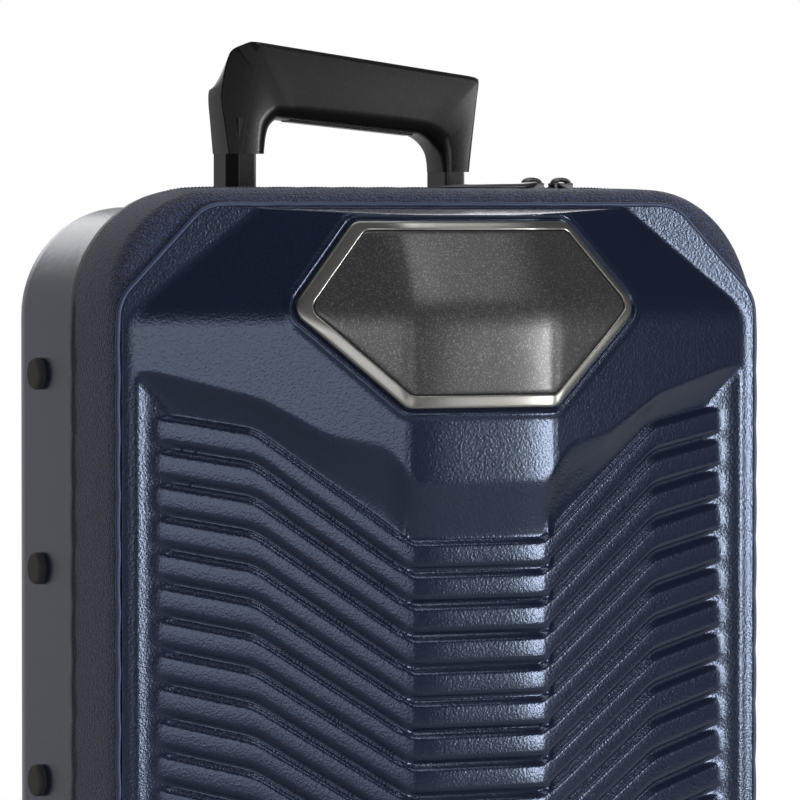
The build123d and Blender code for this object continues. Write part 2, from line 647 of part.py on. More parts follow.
write("lock_body", lock_body())
write("lock_button", lock_button())
for number in range(3):
    write(f"lock_dial_{number + 1}", dial(number, DIAL_RADIUS, 4.6, 1.56))

for name, x in SLIDER_X.items():
    write(f"zip_slider_{name}", slider(x))
    write(f"zip_pull_{name}", zip_pull(x, -1 if name == "left" else 1))

for half_name in ("f", "r"):
    for side_name, side_sign in (("l", -1), ("r", 1)):
        tag = half_name + side_name
        spot = swivel_spot(half_name, side_sign)
        write(f"caster_fork_{tag}", fork(*spot))
        write(f"caster_axle_{tag}", axle(*spot))
        write(f"caster_hubs_{tag}", wheel_pair(*spot, HUB_RADIUS, AXLE_RADIUS + AXLE_RUNNING_FIT, 0.5))
        write(f"caster_tyres_{tag}", wheel_pair(*spot, WHEEL_RADIUS, HUB_RADIUS, 0.0))
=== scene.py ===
import json
import math

import bmesh
import bpy
import numpy as np
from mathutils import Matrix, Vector

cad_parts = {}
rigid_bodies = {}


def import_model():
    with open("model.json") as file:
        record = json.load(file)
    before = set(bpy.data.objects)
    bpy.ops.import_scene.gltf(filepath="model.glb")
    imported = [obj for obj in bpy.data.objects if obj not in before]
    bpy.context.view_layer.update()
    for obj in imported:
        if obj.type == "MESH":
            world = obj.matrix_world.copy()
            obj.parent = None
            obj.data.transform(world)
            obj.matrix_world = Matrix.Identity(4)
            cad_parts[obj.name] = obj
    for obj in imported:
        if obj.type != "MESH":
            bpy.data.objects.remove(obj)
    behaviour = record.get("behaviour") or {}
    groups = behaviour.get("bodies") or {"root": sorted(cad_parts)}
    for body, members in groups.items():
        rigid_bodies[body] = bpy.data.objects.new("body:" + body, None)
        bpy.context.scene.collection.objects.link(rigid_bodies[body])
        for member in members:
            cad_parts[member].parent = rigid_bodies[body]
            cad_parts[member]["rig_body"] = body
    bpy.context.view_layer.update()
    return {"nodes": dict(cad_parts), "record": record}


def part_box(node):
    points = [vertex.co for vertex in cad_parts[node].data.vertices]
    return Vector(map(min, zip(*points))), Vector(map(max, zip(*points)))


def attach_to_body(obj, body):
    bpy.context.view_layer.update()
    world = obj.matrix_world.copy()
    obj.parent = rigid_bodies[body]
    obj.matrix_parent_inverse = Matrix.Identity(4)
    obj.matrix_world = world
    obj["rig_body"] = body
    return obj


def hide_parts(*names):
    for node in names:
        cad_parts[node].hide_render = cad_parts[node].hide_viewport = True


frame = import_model()

# Hard shell cabin suitcase. Shapes are worked out in millimetres, as x, depth behind the front
# spine and height, and turned into metres of the CAD frame when a mesh is made.
MM = 0.001


# ---- what the frame says ---------------------------------------------------------------------
def mm_box(node):
    low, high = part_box(node)
    return [v / MM for v in low], [v / MM for v in high]


shell_low, shell_high = mm_box("front_shell")
SPINE_Y = shell_low[1]
HALF_WIDTH = shell_high[0]
LOW_Z, RIM_Z = shell_low[2], shell_high[2]
RIM_DEPTH = shell_high[1] - SPINE_Y
TOP_Z = RIM_Z - 4.0
FLANGE_DEPTH = RIM_DEPTH - 2.6
CENTRE_Z = (LOW_Z + RIM_Z) / 2

gusset_low, gusset_high = mm_box("front_gusset")
FABRIC_HALF = gusset_high[0]
FABRIC_TOP = gusset_high[2]
FABRIC_DEPTH = (gusset_low[1] - SPINE_Y, gusset_high[1] - SPINE_Y)
ZIP_DEPTH = FABRIC_DEPTH[1] + 2.5

BAND_HALF = 46.5
RIB_BAND_HALF = 43.0
SIDE_RAKE = 0.30
RAKE = 0.40
UPPER_CREASE = TOP_Z - 56.0
LOWER_CREASE = 118.0


# ---- small mesh helpers ----------------------------------------------------------------------
def blend_in(x, w):
    """0 below zero and x above it, with a rounded corner of half width w."""
    return np.where(x < -w, 0.0, np.where(x > w, x, (x + w) ** 2 / (4 * w)))


def soft_max(a, b, w):
    return a + blend_in(b - a, w)


def soft_min(a, b, w):
    return a - blend_in(a - b, w)


def step(low, high, x):
    """Smooth 0 to 1 between two values."""
    t = np.clip((x - low) / (high - low), 0, 1)
    return t * t * (3 - 2 * t)


def place(x, depth, z):
    """Points in the frame's metres, from x, depth behind the spine and height in millimetres."""
    x, depth, z = np.broadcast_arrays(x, depth, z)
    return np.stack([x, depth + SPINE_Y, z], axis=-1).reshape(-1, 3) * MM


def make(name, verts, faces, material, smooth=True, sharp=None):
    """New mesh object; sharp is the angle from which its edges stay sharp."""
    mesh = bpy.data.meshes.new(name)
    mesh.from_pydata([tuple(v) for v in verts], [], [tuple(f) for f in faces])
    mesh.validate()
    obj = bpy.data.objects.new(name, mesh)
    bpy.context.scene.collection.objects.link(obj)
    mesh.materials.append(material)
    if smooth:
        mesh.shade_smooth()
    if sharp is not None:
        mesh.set_sharp_from_angle(angle=math.radians(sharp))
    turn_outward(mesh)
    return obj


def turn_outward(mesh):
    """Face normals pointing out of the solid."""
    work = bmesh.new()
    work.from_mesh(mesh)
    bmesh.ops.recalc_face_normals(work, faces=work.faces)
    work.to_mesh(mesh)
    work.free()


def strip_faces(first, second):
    """Quads between two equal closed rows of vertex numbers."""
    count = len(first)
    return [(first[i], first[(i + 1) % count], second[(i + 1) % count], second[i])
            for i in range(count)]


def loft(loops, close_ends=False, join=False):
    """Vertices and faces through equal closed loops of points; join makes a ring of loops."""
    count = len(loops[0])
    verts = np.concatenate(loops)
    rows = [list(range(i * count, (i + 1) * count)) for i in range(len(loops))]
    faces = []
    for a, b in zip(rows, rows[1:]):
        faces += strip_faces(a, b)
    if join:
        faces += strip_faces(rows[-1], rows[0])
    if close_ends:
        faces += [tuple(reversed(rows[0])), tuple(rows[-1])]
    return verts, faces


def attach(obj, body, slot, *nodes):
    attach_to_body(obj, body)
    if nodes:
        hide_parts(*nodes)
    return obj


SHARP_ANGLE = 30.0


def rounding(obj, width, segments=2):
    """Bevel on the sharp edges, with normals that keep flat faces flat."""
    bevel = obj.modifiers.new("edges", "BEVEL")
    bevel.width = width * MM
    bevel.segments = segments
    bevel.limit_method = "ANGLE"
    bevel.angle_limit = math.radians(SHARP_ANGLE)
    bevel.use_clamp_overlap = True
    weighted = obj.modifiers.new("normals", "WEIGHTED_NORMAL")
    weighted.keep_sharp = True
    return obj


BOX_FACES = [(0, 1, 3, 2), (4, 6, 7, 5), (0, 4, 5, 1), (2, 3, 7, 6), (0, 2, 6, 4), (1, 5, 7, 3)]


def rounded_box(name, x, depth, z, radius, material):
    """Box between pairs of limits with rounded edges."""
    verts = [(a, b + SPINE_Y, c) for a in x for b in depth for c in z]
    obj = make(name, np.array(verts) * MM, BOX_FACES, material)
    return rounding(obj, radius, 3)


# ---- outlines --------------------------------------------------------------------------------
def round_polygon(points, radii, steps=10):
    """Closed outline through corner points, each rounded by its own radius."""
    points = [np.array(p, float) for p in points]
    result = []
    for i, corner in enumerate(points):
        before, after = points[i - 1] - corner, points[(i + 1) % len(points)] - corner
        before, after = before / np.linalg.norm(before), after / np.linalg.norm(after)
        half = math.acos(np.clip(before @ after, -1, 1)) / 2
        middle = (before + after) / np.linalg.norm(before + after)
        centre = corner + middle * radii[i] / math.sin(half)
        start = corner + before * radii[i] / math.tan(half) - centre
        end = corner + after * radii[i] / math.tan(half) - centre
        a0, a1 = math.atan2(start[1], start[0]), math.atan2(end[1], end[0])
        turn = (a1 - a0 + math.pi) % (2 * math.pi) - math.pi
        for t in np.linspace(0, 1, steps + 1):
            angle = a0 + turn * t
            result.append(centre + radii[i] * np.array([math.cos(angle), math.sin(angle)]))
    return np.array(result)


def mirrored(right):
    """Corner points of the right side, followed by the same on the left."""
    return right + [(-x, z) for x, z in reversed(right)]


def shell_outline(grow=0.0):
    """Front moulding seen from the front, with cut corners."""
    half, low, high = HALF_WIDTH + grow, LOW_Z - grow, RIM_Z + grow
    cut, low_cut = 52.0 + 0.6 * grow, 18.0 + 0.6 * grow
    right = [(half - low_cut, low), (half, low + low_cut), (half, high - cut), (half - cut, high)]
    return round_polygon(mirrored(right), [12, 12, 24, 24, 24, 24, 12, 12])


def rounded_outline(half, low, high, upper, lower=30.0, grow=0.0):
    """Upright rectangle with one corner radius at the top and one at the bottom."""
    half, low, high = half + grow, low - grow, high + grow
    right = [(half, low), (half, high)]
    radii = [lower + grow, upper + grow, upper + grow, lower + grow]
    return round_polygon(mirrored(right), radii, 16)


def at_angles(outline, angles):
    """Points of an outline in the given directions from the shell's middle."""
    rel = outline - np.array([0.0, CENTRE_Z])
    dense = []
    for i in range(len(rel)):
        for t in np.linspace(0, 1, 12, endpoint=False):
            dense.append(rel[i] * (1 - t) + rel[(i + 1) % len(rel)] * t)
    dense = np.array(dense)
    order = np.argsort(np.arctan2(dense[:, 1], dense[:, 0]))
    theta = np.arctan2(dense[:, 1], dense[:, 0])[order]
    radius = np.hypot(dense[:, 0], dense[:, 1])[order]
    r = np.interp(angles, theta, radius, period=2 * math.pi)
    return np.stack([r * np.cos(angles), r * np.sin(angles) + CENTRE_Z], axis=-1)


def even_angles(outline, spacing):
    """Directions that step evenly along an outline."""
    rel = outline - np.array([0.0, CENTRE_Z])
    closed = np.vstack([rel, rel[:1]])
    length = np.concatenate([[0], np.cumsum(np.linalg.norm(np.diff(closed, axis=0), axis=1))])
    count = int(length[-1] / spacing)
    s = np.linspace(0, length[-1], count, endpoint=False)
    x, z = np.interp(s, length, closed[:, 0]), np.interp(s, length, closed[:, 1])
    return np.arctan2(z, x)


# ---- materials -------------------------------------------------------------------------------
SLOT_MATERIALS = {}


def plug(tree, kind, inputs):
    """New shader node; each input takes a plain value or another node's output."""
    node = tree.nodes.new(f"ShaderNode{kind}")
    if kind == "Mix":
        node.data_type = "RGBA"
    for key, value in inputs.items():
        if isinstance(value, bpy.types.NodeSocket):
            tree.links.new(value, node.inputs[key])
        else:
            node.inputs[key].default_value = value
    return node


def material(name, colour, rough, metal=0.0, grain=None, weave=None, colour_shift=0.06,
             rough_shift=0.02, tint=(1.0, 1.0, 1.0), spec=0.5, sheen=0.0, glint_specks=0.0, edge_highlight=0.0):
    """Principled surface with procedural grain, weave and tone shifts, painted edge highlights and
    painted glint specks.

    grain and weave are (size in mm, height in mm)."""
    mat = bpy.data.materials.new(name)
    mat.use_nodes = True
    tree = mat.node_tree
    shader = tree.nodes["Principled BSDF"]
    for key, value in (("Metallic", metal), ("Specular IOR Level", spec), ("Sheen Weight", sheen),
                       ("Specular Tint", tint + (1.0,))):
        shader.inputs[key].default_value = value
    where = plug(tree, "TexCoord", {}).outputs["Object"]

    def noise(size, detail=3.0):
        return plug(tree, "TexNoise", {"Vector": where, "Scale": 1 / (size * MM),
                                       "Detail": detail}).outputs["Fac"]

    def cells(size, randomness=1.0):
        return plug(tree, "TexVoronoi", {"Vector": where, "Scale": 1 / (size * MM),
                                         "Randomness": randomness})

    def ramp(value, low, high, start=0.3, end=0.7):
        return plug(tree, "MapRange", {"Value": value, "From Min": start, "From Max": end,
                                       "To Min": low, "To Max": high}).outputs["Result"]

    def mix(factor, a, b):
        return plug(tree, "Mix", {"Factor": factor, 6: a, 7: b}).outputs[2]

    def shade(factor):
        return tuple(min(1.0, c * factor) for c in colour) + (1.0,)

    tone = mix(ramp(noise(45.0), 0.0, 1.0), shade(1 - colour_shift), shade(1 + colour_shift))
    heights = []
    if grain:
        size, height = grain
        pebbles = cells(size)
        pebbles.feature = "SMOOTH_F1"
        far = pebbles.outputs["Distance"]
        heights += [(far, height), (noise(size * 0.6, 2.0), height * 0.8)]
        tone = mix(ramp(far, 0.0, 0.35, 0.1, 0.8), tone, shade(0.75))
    if weave:
        size, height = weave
        far = cells(size, 0.8).outputs["Distance"]
        heights.append((ramp(far, 1.0, 0.0, 0.0, 0.7), height))
        tone = mix(ramp(far, 0.0, 0.85, 0.25, 0.7), tone, shade(0.35))
    # painted glints: bright specks mixed into the base colour stand in for light glinting off the
    # grain and fibres
    if glint_specks:
        tone = mix(ramp(noise(0.9, 1.0), 0.0, glint_specks, 0.52, 0.72), tone, shade(3.0))
    # painted edge highlight: the base colour is lightened on sharp convex edges, standing in for
    # light catching them
    if edge_highlight:
        edge = plug(tree, "NewGeometry", {}).outputs["Pointiness"]
        tone = mix(ramp(edge, 0.0, edge_highlight, 0.52, 0.62), tone, shade(1.8))
    tree.links.new(tone, shader.inputs["Base Color"])
    roughness = ramp(noise(2.2), rough - rough_shift, rough + rough_shift)
    tree.links.new(roughness, shader.inputs["Roughness"])
    below = {}
    for value, height in heights:
        bump = plug(tree, "Bump", {"Height": value, "Distance": height * MM, "Strength": 1.0,
                                   **below})
        below = {"Normal": bump.outputs["Normal"]}
    if below:
        tree.links.new(below["Normal"], shader.inputs["Normal"])
    SLOT_MATERIALS[name] = mat
    return mat


# the edge lightening given to the shell, zip metal, trim and tyres is a painted highlight on their
# edges
shell_navy = material("shell_navy", (0.0062, 0.0097, 0.0235), 0.24, grain=(1.45, 0.095), spec=0.55,
                      tint=(0.60, 0.73, 1.0), colour_shift=0.04, rough_shift=0.015, edge_highlight=0.25)
# bright specks in the fabric and the badge panel are painted glints
fabric_navy = material("fabric_navy", (0.015, 0.024, 0.058), 0.80, weave=(1.45, 0.75), sheen=0.15,
                       glint_specks=1.0)
piping_navy = material("piping_navy", (0.030, 0.042, 0.085), 0.42, grain=(0.7, 0.02),
                       tint=(0.70, 0.80, 1.0))
badge_satin = material("badge_satin", (0.21, 0.206, 0.195), 0.30, metal=0.85, grain=(0.6, 0.010),
                       colour_shift=0.03)
badge_graphite = material("badge_graphite", (0.040, 0.040, 0.041), 0.31, metal=0.35,
                          grain=(0.75, 0.030), glint_specks=0.9, colour_shift=0.03)
zip_coil = material("zip_coil", (0.016, 0.022, 0.048), 0.5, weave=(0.9, 0.1))
zip_metal = material("zip_metal", (0.075, 0.075, 0.075), 0.32, metal=0.75, grain=(0.8, 0.006),
                     edge_highlight=0.5)
handle_black = material("handle_black", (0.0085, 0.0085, 0.009), 0.27, grain=(0.45, 0.008), spec=0.20,
                        colour_shift=0.03, rough_shift=0.01)
material("tube_black", (0.012, 0.012, 0.012), 0.28, grain=(0.5, 0.003), spec=0.20)
material("trim_black", (0.024, 0.024, 0.026), 0.55, grain=(0.9, 0.03), edge_highlight=0.4)
lining_grey = material("lining_grey", (0.115, 0.122, 0.138), 0.75, weave=(1.1, 0.10), sheen=0.3)
webbing = material("webbing", (0.030, 0.034, 0.048), 0.8, weave=(1.6, 0.25), sheen=0.2)
material("steel", (0.58, 0.58, 0.59), 0.28, metal=1.0, grain=(0.6, 0.006))
tyre_rubber = material("tyre_rubber", (0.026, 0.026, 0.027), 0.62, grain=(0.8, 0.03), edge_highlight=0.3)
hub_grey = material("hub_grey", (0.105, 0.106, 0.110), 0.42, grain=(0.8, 0.015))
material("foot_rubber", (0.022, 0.022, 0.023), 0.7, grain=(0.8, 0.03))
material("dial_black", (0.035, 0.035, 0.037), 0.4, grain=(0.5, 0.01))

# every CAD node first takes the material of its own slot
for part in frame["record"]["subparts"]:
    node = frame["nodes"][part["node"]]
    node.data.materials.clear()
    node.data.materials.append(SLOT_MATERIALS[part["material_slot"]])


# ---- camera, floor and light -----------------------------------------------------------------
YAW, PITCH = math.radians(27.0), math.radians(1.72)
forward = Vector((math.sin(YAW) * math.cos(PITCH), math.cos(YAW) * math.cos(PITCH),
                  -math.sin(PITCH)))
CAMERA_DISTANCE = 3.390
aim = Vector((-0.0430, -0.0835, 0.4267))
camera = bpy.data.objects.new("camera", bpy.data.cameras.new("camera"))
bpy.context.scene.collection.objects.link(camera)
camera.location = aim - CAMERA_DISTANCE * forward
camera.rotation_euler = forward.to_track_quat("-Z", "Y").to_euler()
camera.data.lens = 274.5
camera.data.sensor_width = 36.0
camera.data.clip_end = 50.0
bpy.context.scene.camera = camera
bpy.context.scene.view_settings.view_transform = "Standard"


LIT_POINT = Vector((0.0, -0.05, 0.40))


def soft_box(name, azimuth, elevation, distance, width, height, power):
    """Area light seen from the case at an azimuth (0 in front, plus to the left) and elevation."""
    data = bpy.data.lights.new(name, "AREA")
    data.shape = "RECTANGLE"
    data.size, data.size_y = width, height
    data.energy = power
    light = bpy.data.objects.new(name, data)
    bpy.context.scene.collection.objects.link(light)
    a, e = math.radians(azimuth), math.radians(elevation)
    away = Vector((-math.sin(a) * math.cos(e), -math.cos(a) * math.cos(e), math.sin(e)))
    light.location = LIT_POINT + away * distance
    light.rotation_euler = (-away).to_track_quat("-Z", "Y").to_euler()
    light.visible_camera = False


soft_box("front_box", 15.0, 3.0, 2.6, 1.50, 0.90, 16.5)
soft_box("right_strip", -41.5, 0.0, 2.6, 0.30, 0.80, 38.0)
soft_box("upper_key", -27.0, 42.0, 2.6, 0.50, 0.50, 7.0)
soft_box("left_fill", 52.0, 8.0, 2.6, 0.8, 0.9, 5.0)
soft_box("back_left", 180.0, 25.0, 2.8, 1.2, 1.2, 9.0)
soft_box("back_right", -140.0, 25.0, 2.8, 1.4, 1.4, 22.0)
soft_box("top_box", 0.0, 86.0, 2.4, 1.8, 1.8, 20.0)

# white behind the case, and for reflections a glow that grows from the front to the back
world = bpy.data.worlds.new("studio")
bpy.context.scene.world = world
world.use_nodes = True
sky = world.node_tree
backdrop = sky.nodes["Background"]
backdrop.inputs["Color"].default_value = (1.0, 1.0, 1.0, 1.0)
backdrop.inputs["Strength"].default_value = 1.0
direction = plug(sky, "TexCoord", {}).outputs["Generated"]
towards_back = plug(sky, "SeparateXYZ", {"Vector": direction}).outputs["Y"]
glow = plug(sky, "MapRange", {"Value": towards_back, "From Min": 0.0, "From Max": 0.9,
                              "To Min": 0.05, "To Max": 0.8})
around = plug(sky, "Background", {"Strength": glow.outputs["Result"]})
seen = plug(sky, "LightPath", {}).outputs["Is Camera Ray"]
choose = plug(sky, "MixShader", {"Fac": seen, 1: around.outputs["Background"],
                                 2: backdrop.outputs["Background"]})
sky.links.new(choose.outputs["Shader"], sky.nodes["World Output"].inputs["Surface"])

floor_paint = material("floor_paint", (0.78, 0.78, 0.77), 0.7, grain=(3.0, 0.02), colour_shift=0.02)
FLOOR_SIDES = 96
ring = np.linspace(0, 2 * math.pi, FLOOR_SIDES, endpoint=False)
floor_loops = [np.stack([r * np.cos(ring), r * np.sin(ring), np.zeros(FLOOR_SIDES)], axis=-1)
               for r in (1.6, 0.8, 0.4)]
floor_verts, floor_faces = loft(floor_loops)
floor_faces.append(tuple(range(len(floor_verts) - FLOOR_SIDES, len(floor_verts))))
floor = make("floor", floor_verts, floor_faces, floor_paint)


# ---- front shell -----------------------------------------------------------------------------
# Corners of the badge, and kinks of the rib field: distance from the middle against height,
# all measured down from the level of the top edge.
BADGE_RIGHT = [(67.0, -3.5), (109.5, -53.0), (47.0, -108.0)]
BADGE_ROUND = 9.0
PANEL_ROUND = 6.5
PANEL_INSETS = (4.2, 5.6, 7.6, 7.6, 7.6, 5.6)
RIB_EDGE = ([43, 50, 58, 88, 126, 150, 182], [-149, -137, -129.5, -123, -102, -95.5, -87])
RIB_FLOOR = ([43, 55, 88, 126, 150, 182], [-181, -165, -144, -118, -113, -107])
RIB_START = ([43, 126, 180], [-198, -136.4, -127])
RIB_PITCH = ([43, 126, 180], [17.9, 19.0, 18.55])
RIB_SIDE = 192.0
RIB_LOW_Z = 120.0
RIB_DEEP, RIB_RELIEF, RIB_CROWN = 4.0, 2.8, 0.2
RIB_SIDE_SLOPE, RIB_LOW_SLOPE = 0.36, 0.37
SHELL_BACK = 8.2
CROWN = 1.8
BEVEL_DEPTH, BEVEL_SLOPE = 24.0, 0.16
SEAT_DEPTH, SEAT_HOLLOW, LIP_HEIGHT = 1.6, 2.4, 0.8


KINK_SPREAD = 5.0


def soft_interp(a, table):
    """Value of a table against distance from the middle, with its kinks rounded."""
    parts = [np.interp(a + shift, *table) * weight
             for shift, weight in ((-KINK_SPREAD, 1), (-KINK_SPREAD / 2, 2), (0, 2),
                                   (KINK_SPREAD / 2, 2), (KINK_SPREAD, 1))]
    return sum(parts) / 8


def polygon_distance(x, z, points):
    """Signed distance to a convex outline, negative inside."""
    inside = np.full(x.shape, -1e9)
    nearest = np.full(x.shape, 1e9)
    for i in range(len(points)):
        p, q = np.array(points[i]), np.array(points[(i + 1) % len(points)])
        edge = q - p
        length = np.linalg.norm(edge)
        rx, rz = x - p[0], z - p[1]
        t = np.clip((rx * edge[0] + rz * edge[1]) / length ** 2, 0, 1)
        nearest = np.minimum(nearest, np.hypot(rx - t * edge[0], rz - t * edge[1]))
        inside = np.maximum(inside, (rz * edge[0] - rx * edge[1]) / length)
    return np.where(inside > 0, nearest, inside)


def inset_polygon(points, amount):
    """Corner points of a convex outline moved inwards, by one amount or one for each edge."""
    amounts = np.broadcast_to(amount, len(points))
    middle = np.mean(points, axis=0)
    lines = []
    for i in range(len(points)):
        p, q = np.array(points[i]), np.array(points[(i + 1) % len(points)])
        normal = np.array([q[1] - p[1], p[0] - q[0]]) / np.linalg.norm(q - p)
        if normal @ (middle - p) < 0:
            normal = -normal
        lines.append((normal, normal @ p + amounts[i]))
    corners = []
    for i in range(len(points)):
        rows = np.array([lines[i - 1][0], lines[i][0]])
        corners.append(np.linalg.solve(rows, [lines[i - 1][1], lines[i][1]]))
    return corners


badge_points = [(x, TOP_Z + z) for x, z in mirrored(BADGE_RIGHT)]
badge_core = inset_polygon(badge_points, BADGE_ROUND)
panel_core = inset_polygon(badge_points, np.array(PANEL_INSETS) + PANEL_ROUND)


def badge_distance(x, z):
    """Signed distance to the badge outline, negative inside."""
    core = polygon_distance(x, z, badge_core)
    return core - BADGE_ROUND


def facets(x, z, half=BAND_HALF, fold=2.2, crease=9.0):
    """Depth of the smooth folded front behind the spine."""
    a = np.abs(x)
    crown = CROWN * (np.minimum(a, half) / half) ** 4
    side = SIDE_RAKE * blend_in(a - half, fold)
    return (crown + side + RAKE * blend_in(z - UPPER_CREASE, crease)
            + RAKE * blend_in(LOWER_CREASE - z, crease))


def rib_relief(x, z):
    """How far the ribbed field lies behind the facets."""
    a, up = np.abs(x), z - TOP_Z
    edge, bottom = soft_interp(a, RIB_EDGE), soft_interp(a, RIB_FLOOR)
    wall = (edge - up) * (RIB_DEEP + RIB_RELIEF) / (edge - bottom)
    wall = soft_min(wall, RIB_SIDE_SLOPE * (RIB_SIDE - a), 1.6)
    wall = soft_min(wall, RIB_LOW_SLOPE * (z - RIB_LOW_Z), 0.5)
    count = (soft_interp(a, RIB_START) - up) / soft_interp(a, RIB_PITCH)
    t = count - np.floor(count)
    groove = 1 - step(0.0, 0.25, t) + step(0.80, 1.0, t)
    crest = np.clip(1 - ((t - 0.56) / 0.30) ** 2, 0, 1)
    fade = 1 - 0.5 * np.exp(-((a - 45.0) / 3.0) ** 2)
    groove = np.where(count > -1, groove, 1.0)
    crest = np.where(count > -1, crest, 0.0)
    ground = RIB_DEEP + (RIB_RELIEF * groove - RIB_CROWN * crest) * fade
    return np.maximum(soft_max(0.0, soft_min(wall, ground, 1.4), 0.6), 0)


def shell_depth(x, z):
    """Depth of the moulded front, with ribs, badge seat, top bevel and flange."""
    ribs = rib_relief(x, z)
    half = BAND_HALF - (BAND_HALF - RIB_BAND_HALF) * step(0.0, RIB_DEEP, ribs)
    depth = facets(x, z, half) + ribs
    bevel = BEVEL_DEPTH + (z - TOP_Z) / BEVEL_SLOPE
    depth = soft_max(depth, bevel, 2.5)
    seat = badge_distance(x, z)
    lip = np.clip(1 - (seat - 0.4) / 3.4, 0, 1)
    depth = depth + SEAT_DEPTH * lip ** 2 + SEAT_HOLLOW * step(2.0, 7.0, -seat)
    depth = depth - LIP_HEIGHT * np.exp(-((seat - 3.6) / 1.9) ** 2)
    return soft_min(depth, FLANGE_DEPTH, 1.2)


def spaced(stops):
    """Numbers from the first stop to the last, each stretch with its own spacing."""
    values = [stops[0][0]]
    for (start, gap), (end, _) in zip(stops, stops[1:]):
        count = max(1, round((end - start) / gap))
        values += list(np.linspace(start, end, count + 1)[1:])
    return np.array(values)


def half_width_at(z, outline):
    """Half width of an outline at the given heights."""
    right = outline[outline[:, 0] >= 0]
    order = np.argsort(right[:, 1])
    return np.interp(z, right[order, 1], right[order, 0])


def front_shell():
    """Closed moulding: a fine grid over the front, a rim, and a plain back behind the ribs."""
    outline = shell_outline()
    right = outline[outline[:, 0] >= 0]
    rows = spaced([(LOW_Z, 1.6), (LOWER_CREASE, 1.3), (TOP_Z - 118, 0.9), (TOP_Z - 4, 0.35),
                   (RIM_Z, 0.35)])
    columns = spaced([(0, 0.95), (112, 1.5), (HALF_WIDTH, 0)])
    columns = np.concatenate([-columns[:0:-1], columns]) / HALF_WIDTH
    width = half_width_at(rows, outline)
    # the end rows stop where the outline turns over into its level top and bottom
    for index, level in ((0, LOW_Z), (-1, RIM_Z)):
        width[index] = max(x for x, z in right if abs(z - level) < 0.01)
    x = columns[None, :] * width[:, None]
    z = np.repeat(rows[:, None], len(columns), axis=1)
    depth = shell_depth(x, z)
    verts = place(x, depth, z)
    tall, wide = x.shape
    index = np.arange(tall * wide).reshape(tall, wide)
    faces = [(index[i, j], index[i, j + 1], index[i + 1, j + 1], index[i + 1, j])
             for i in range(tall - 1) for j in range(wide - 1)]
    edge = np.concatenate([index[0, :-1], index[:-1, -1], index[-1, :0:-1], index[:0:-1, 0]])
    ex, ez = x.ravel()[edge], z.ravel()[edge]
    loops = [place(ex, RIM_DEPTH, ez)]
    middle = np.array([0.0, CENTRE_Z])
    for inset, deep in [(3.0, None)] + [(i, SHELL_BACK) for i in np.linspace(4.5, 188.0, 17)]:
        shrink = 1 - inset / HALF_WIDTH
        px, pz = middle[0] + (ex - middle[0]) * shrink, middle[1] + (ez - middle[1]) * shrink
        if deep is None:
            pd = np.full(px.shape, RIM_DEPTH)
        else:
            pd = np.minimum(facets(px, pz) + deep, RIM_DEPTH - 0.6)
        loops.append(place(px, pd, pz))
    total = len(verts)
    rings = [list(edge)]
    for loop in loops:
        rings.append(list(range(total, total + len(loop))))
        total += len(loop)
    for a, b in zip(rings, rings[1:]):
        faces += strip_faces(a, b)
    hub = total
    faces += [(rings[-1][i], rings[-1][(i + 1) % len(edge)], hub) for i in range(len(edge))]
    centre = place(0.0, facets(np.array(0.0), np.array(CENTRE_Z)) + SHELL_BACK, CENTRE_Z)
    verts = np.concatenate([verts, *loops, centre])
    obj = make("front_shell_moulding", verts, faces, shell_navy, sharp=50)
    return attach(obj, "front_half", "shell_navy", "front_shell")


front_shell()


# ---- badge -----------------------------------------------------------------------------------
badge_middle = np.mean(badge_core, axis=0)


def outward(edge):
    """Unit normal of a badge edge, pointing away from its middle."""
    normal = np.array([edge[1], -edge[0]]) / np.linalg.norm(edge)
    first = np.array(badge_core[1]) - np.array(badge_core[0])
    test = np.array([first[1], -first[0]])
    return normal if test @ (np.array(badge_core[0]) - badge_middle) > 0 else -normal


EDGE_STEPS, CORNER_STEPS = 44, 10


def badge_loop(grow, core=None, radius=BADGE_ROUND):
    """Rounded outline round core corners, moved outwards, evenly numbered whatever its size."""
    core = badge_core if core is None else core
    loop = []
    count = len(core)
    for i in range(count):
        corner = np.array(core[i])
        before, after = np.array(core[i - 1]), np.array(core[(i + 1) % count])
        out_a = outward(corner - before)
        out_b = outward(after - corner)
        turn = math.atan2(out_a[0] * out_b[1] - out_a[1] * out_b[0], out_a @ out_b)
        for t in np.linspace(0, 1, CORNER_STEPS, endpoint=False):
            c, s = math.cos(turn * t), math.sin(turn * t)
            spoke = np.array([out_a[0] * c - out_a[1] * s, out_a[0] * s + out_a[1] * c])
            loop.append(corner + spoke * (radius + grow))
        start, end = corner + out_b * (radius + grow), after + out_b * (radius + grow)
        loop += [start * (1 - t) + end * t for t in np.linspace(0, 1, EDGE_STEPS, endpoint=False)]
    return np.array(loop)


def panel_loop(grow):
    """Outline of the panel's opening in the frame, moved outwards."""
    return badge_loop(grow, panel_core, PANEL_ROUND)


def draped_loops(profile, depth_of):
    """Loops laid on a surface: the outline, how far it is moved outwards and its lift."""
    loops = []
    for outline, grow, lift in profile:
        points = outline(grow)
        loops.append(place(points[:, 0], depth_of(points[:, 0], points[:, 1]) - lift,
                           points[:, 1]))
    return loops


def badge_facets(x, z):
    """The folds that badge and shell share, softer on the badge."""
    return facets(x, z, fold=6.0, crease=12.0)


def badge_frame():
    """Satin band between the badge outline and the panel's opening."""
    outer = [(-0.3, -0.9), (-0.3, 0.5), (-0.5, 0.85), (-1.0, 1.1), (-1.8, 1.2)]
    inner = [(1.4, 1.2), (0.8, 1.1), (0.3, 0.75), (0.1, 0.35), (0.0, -0.9)]
    profile = [(badge_loop, *row) for row in outer] + [(panel_loop, *row) for row in inner]
    obj = make("badge_band", *loft(draped_loops(profile, badge_facets), join=True), badge_satin,
               sharp=40)
    return attach(obj, "front_half", "badge_satin", "badge_frame")


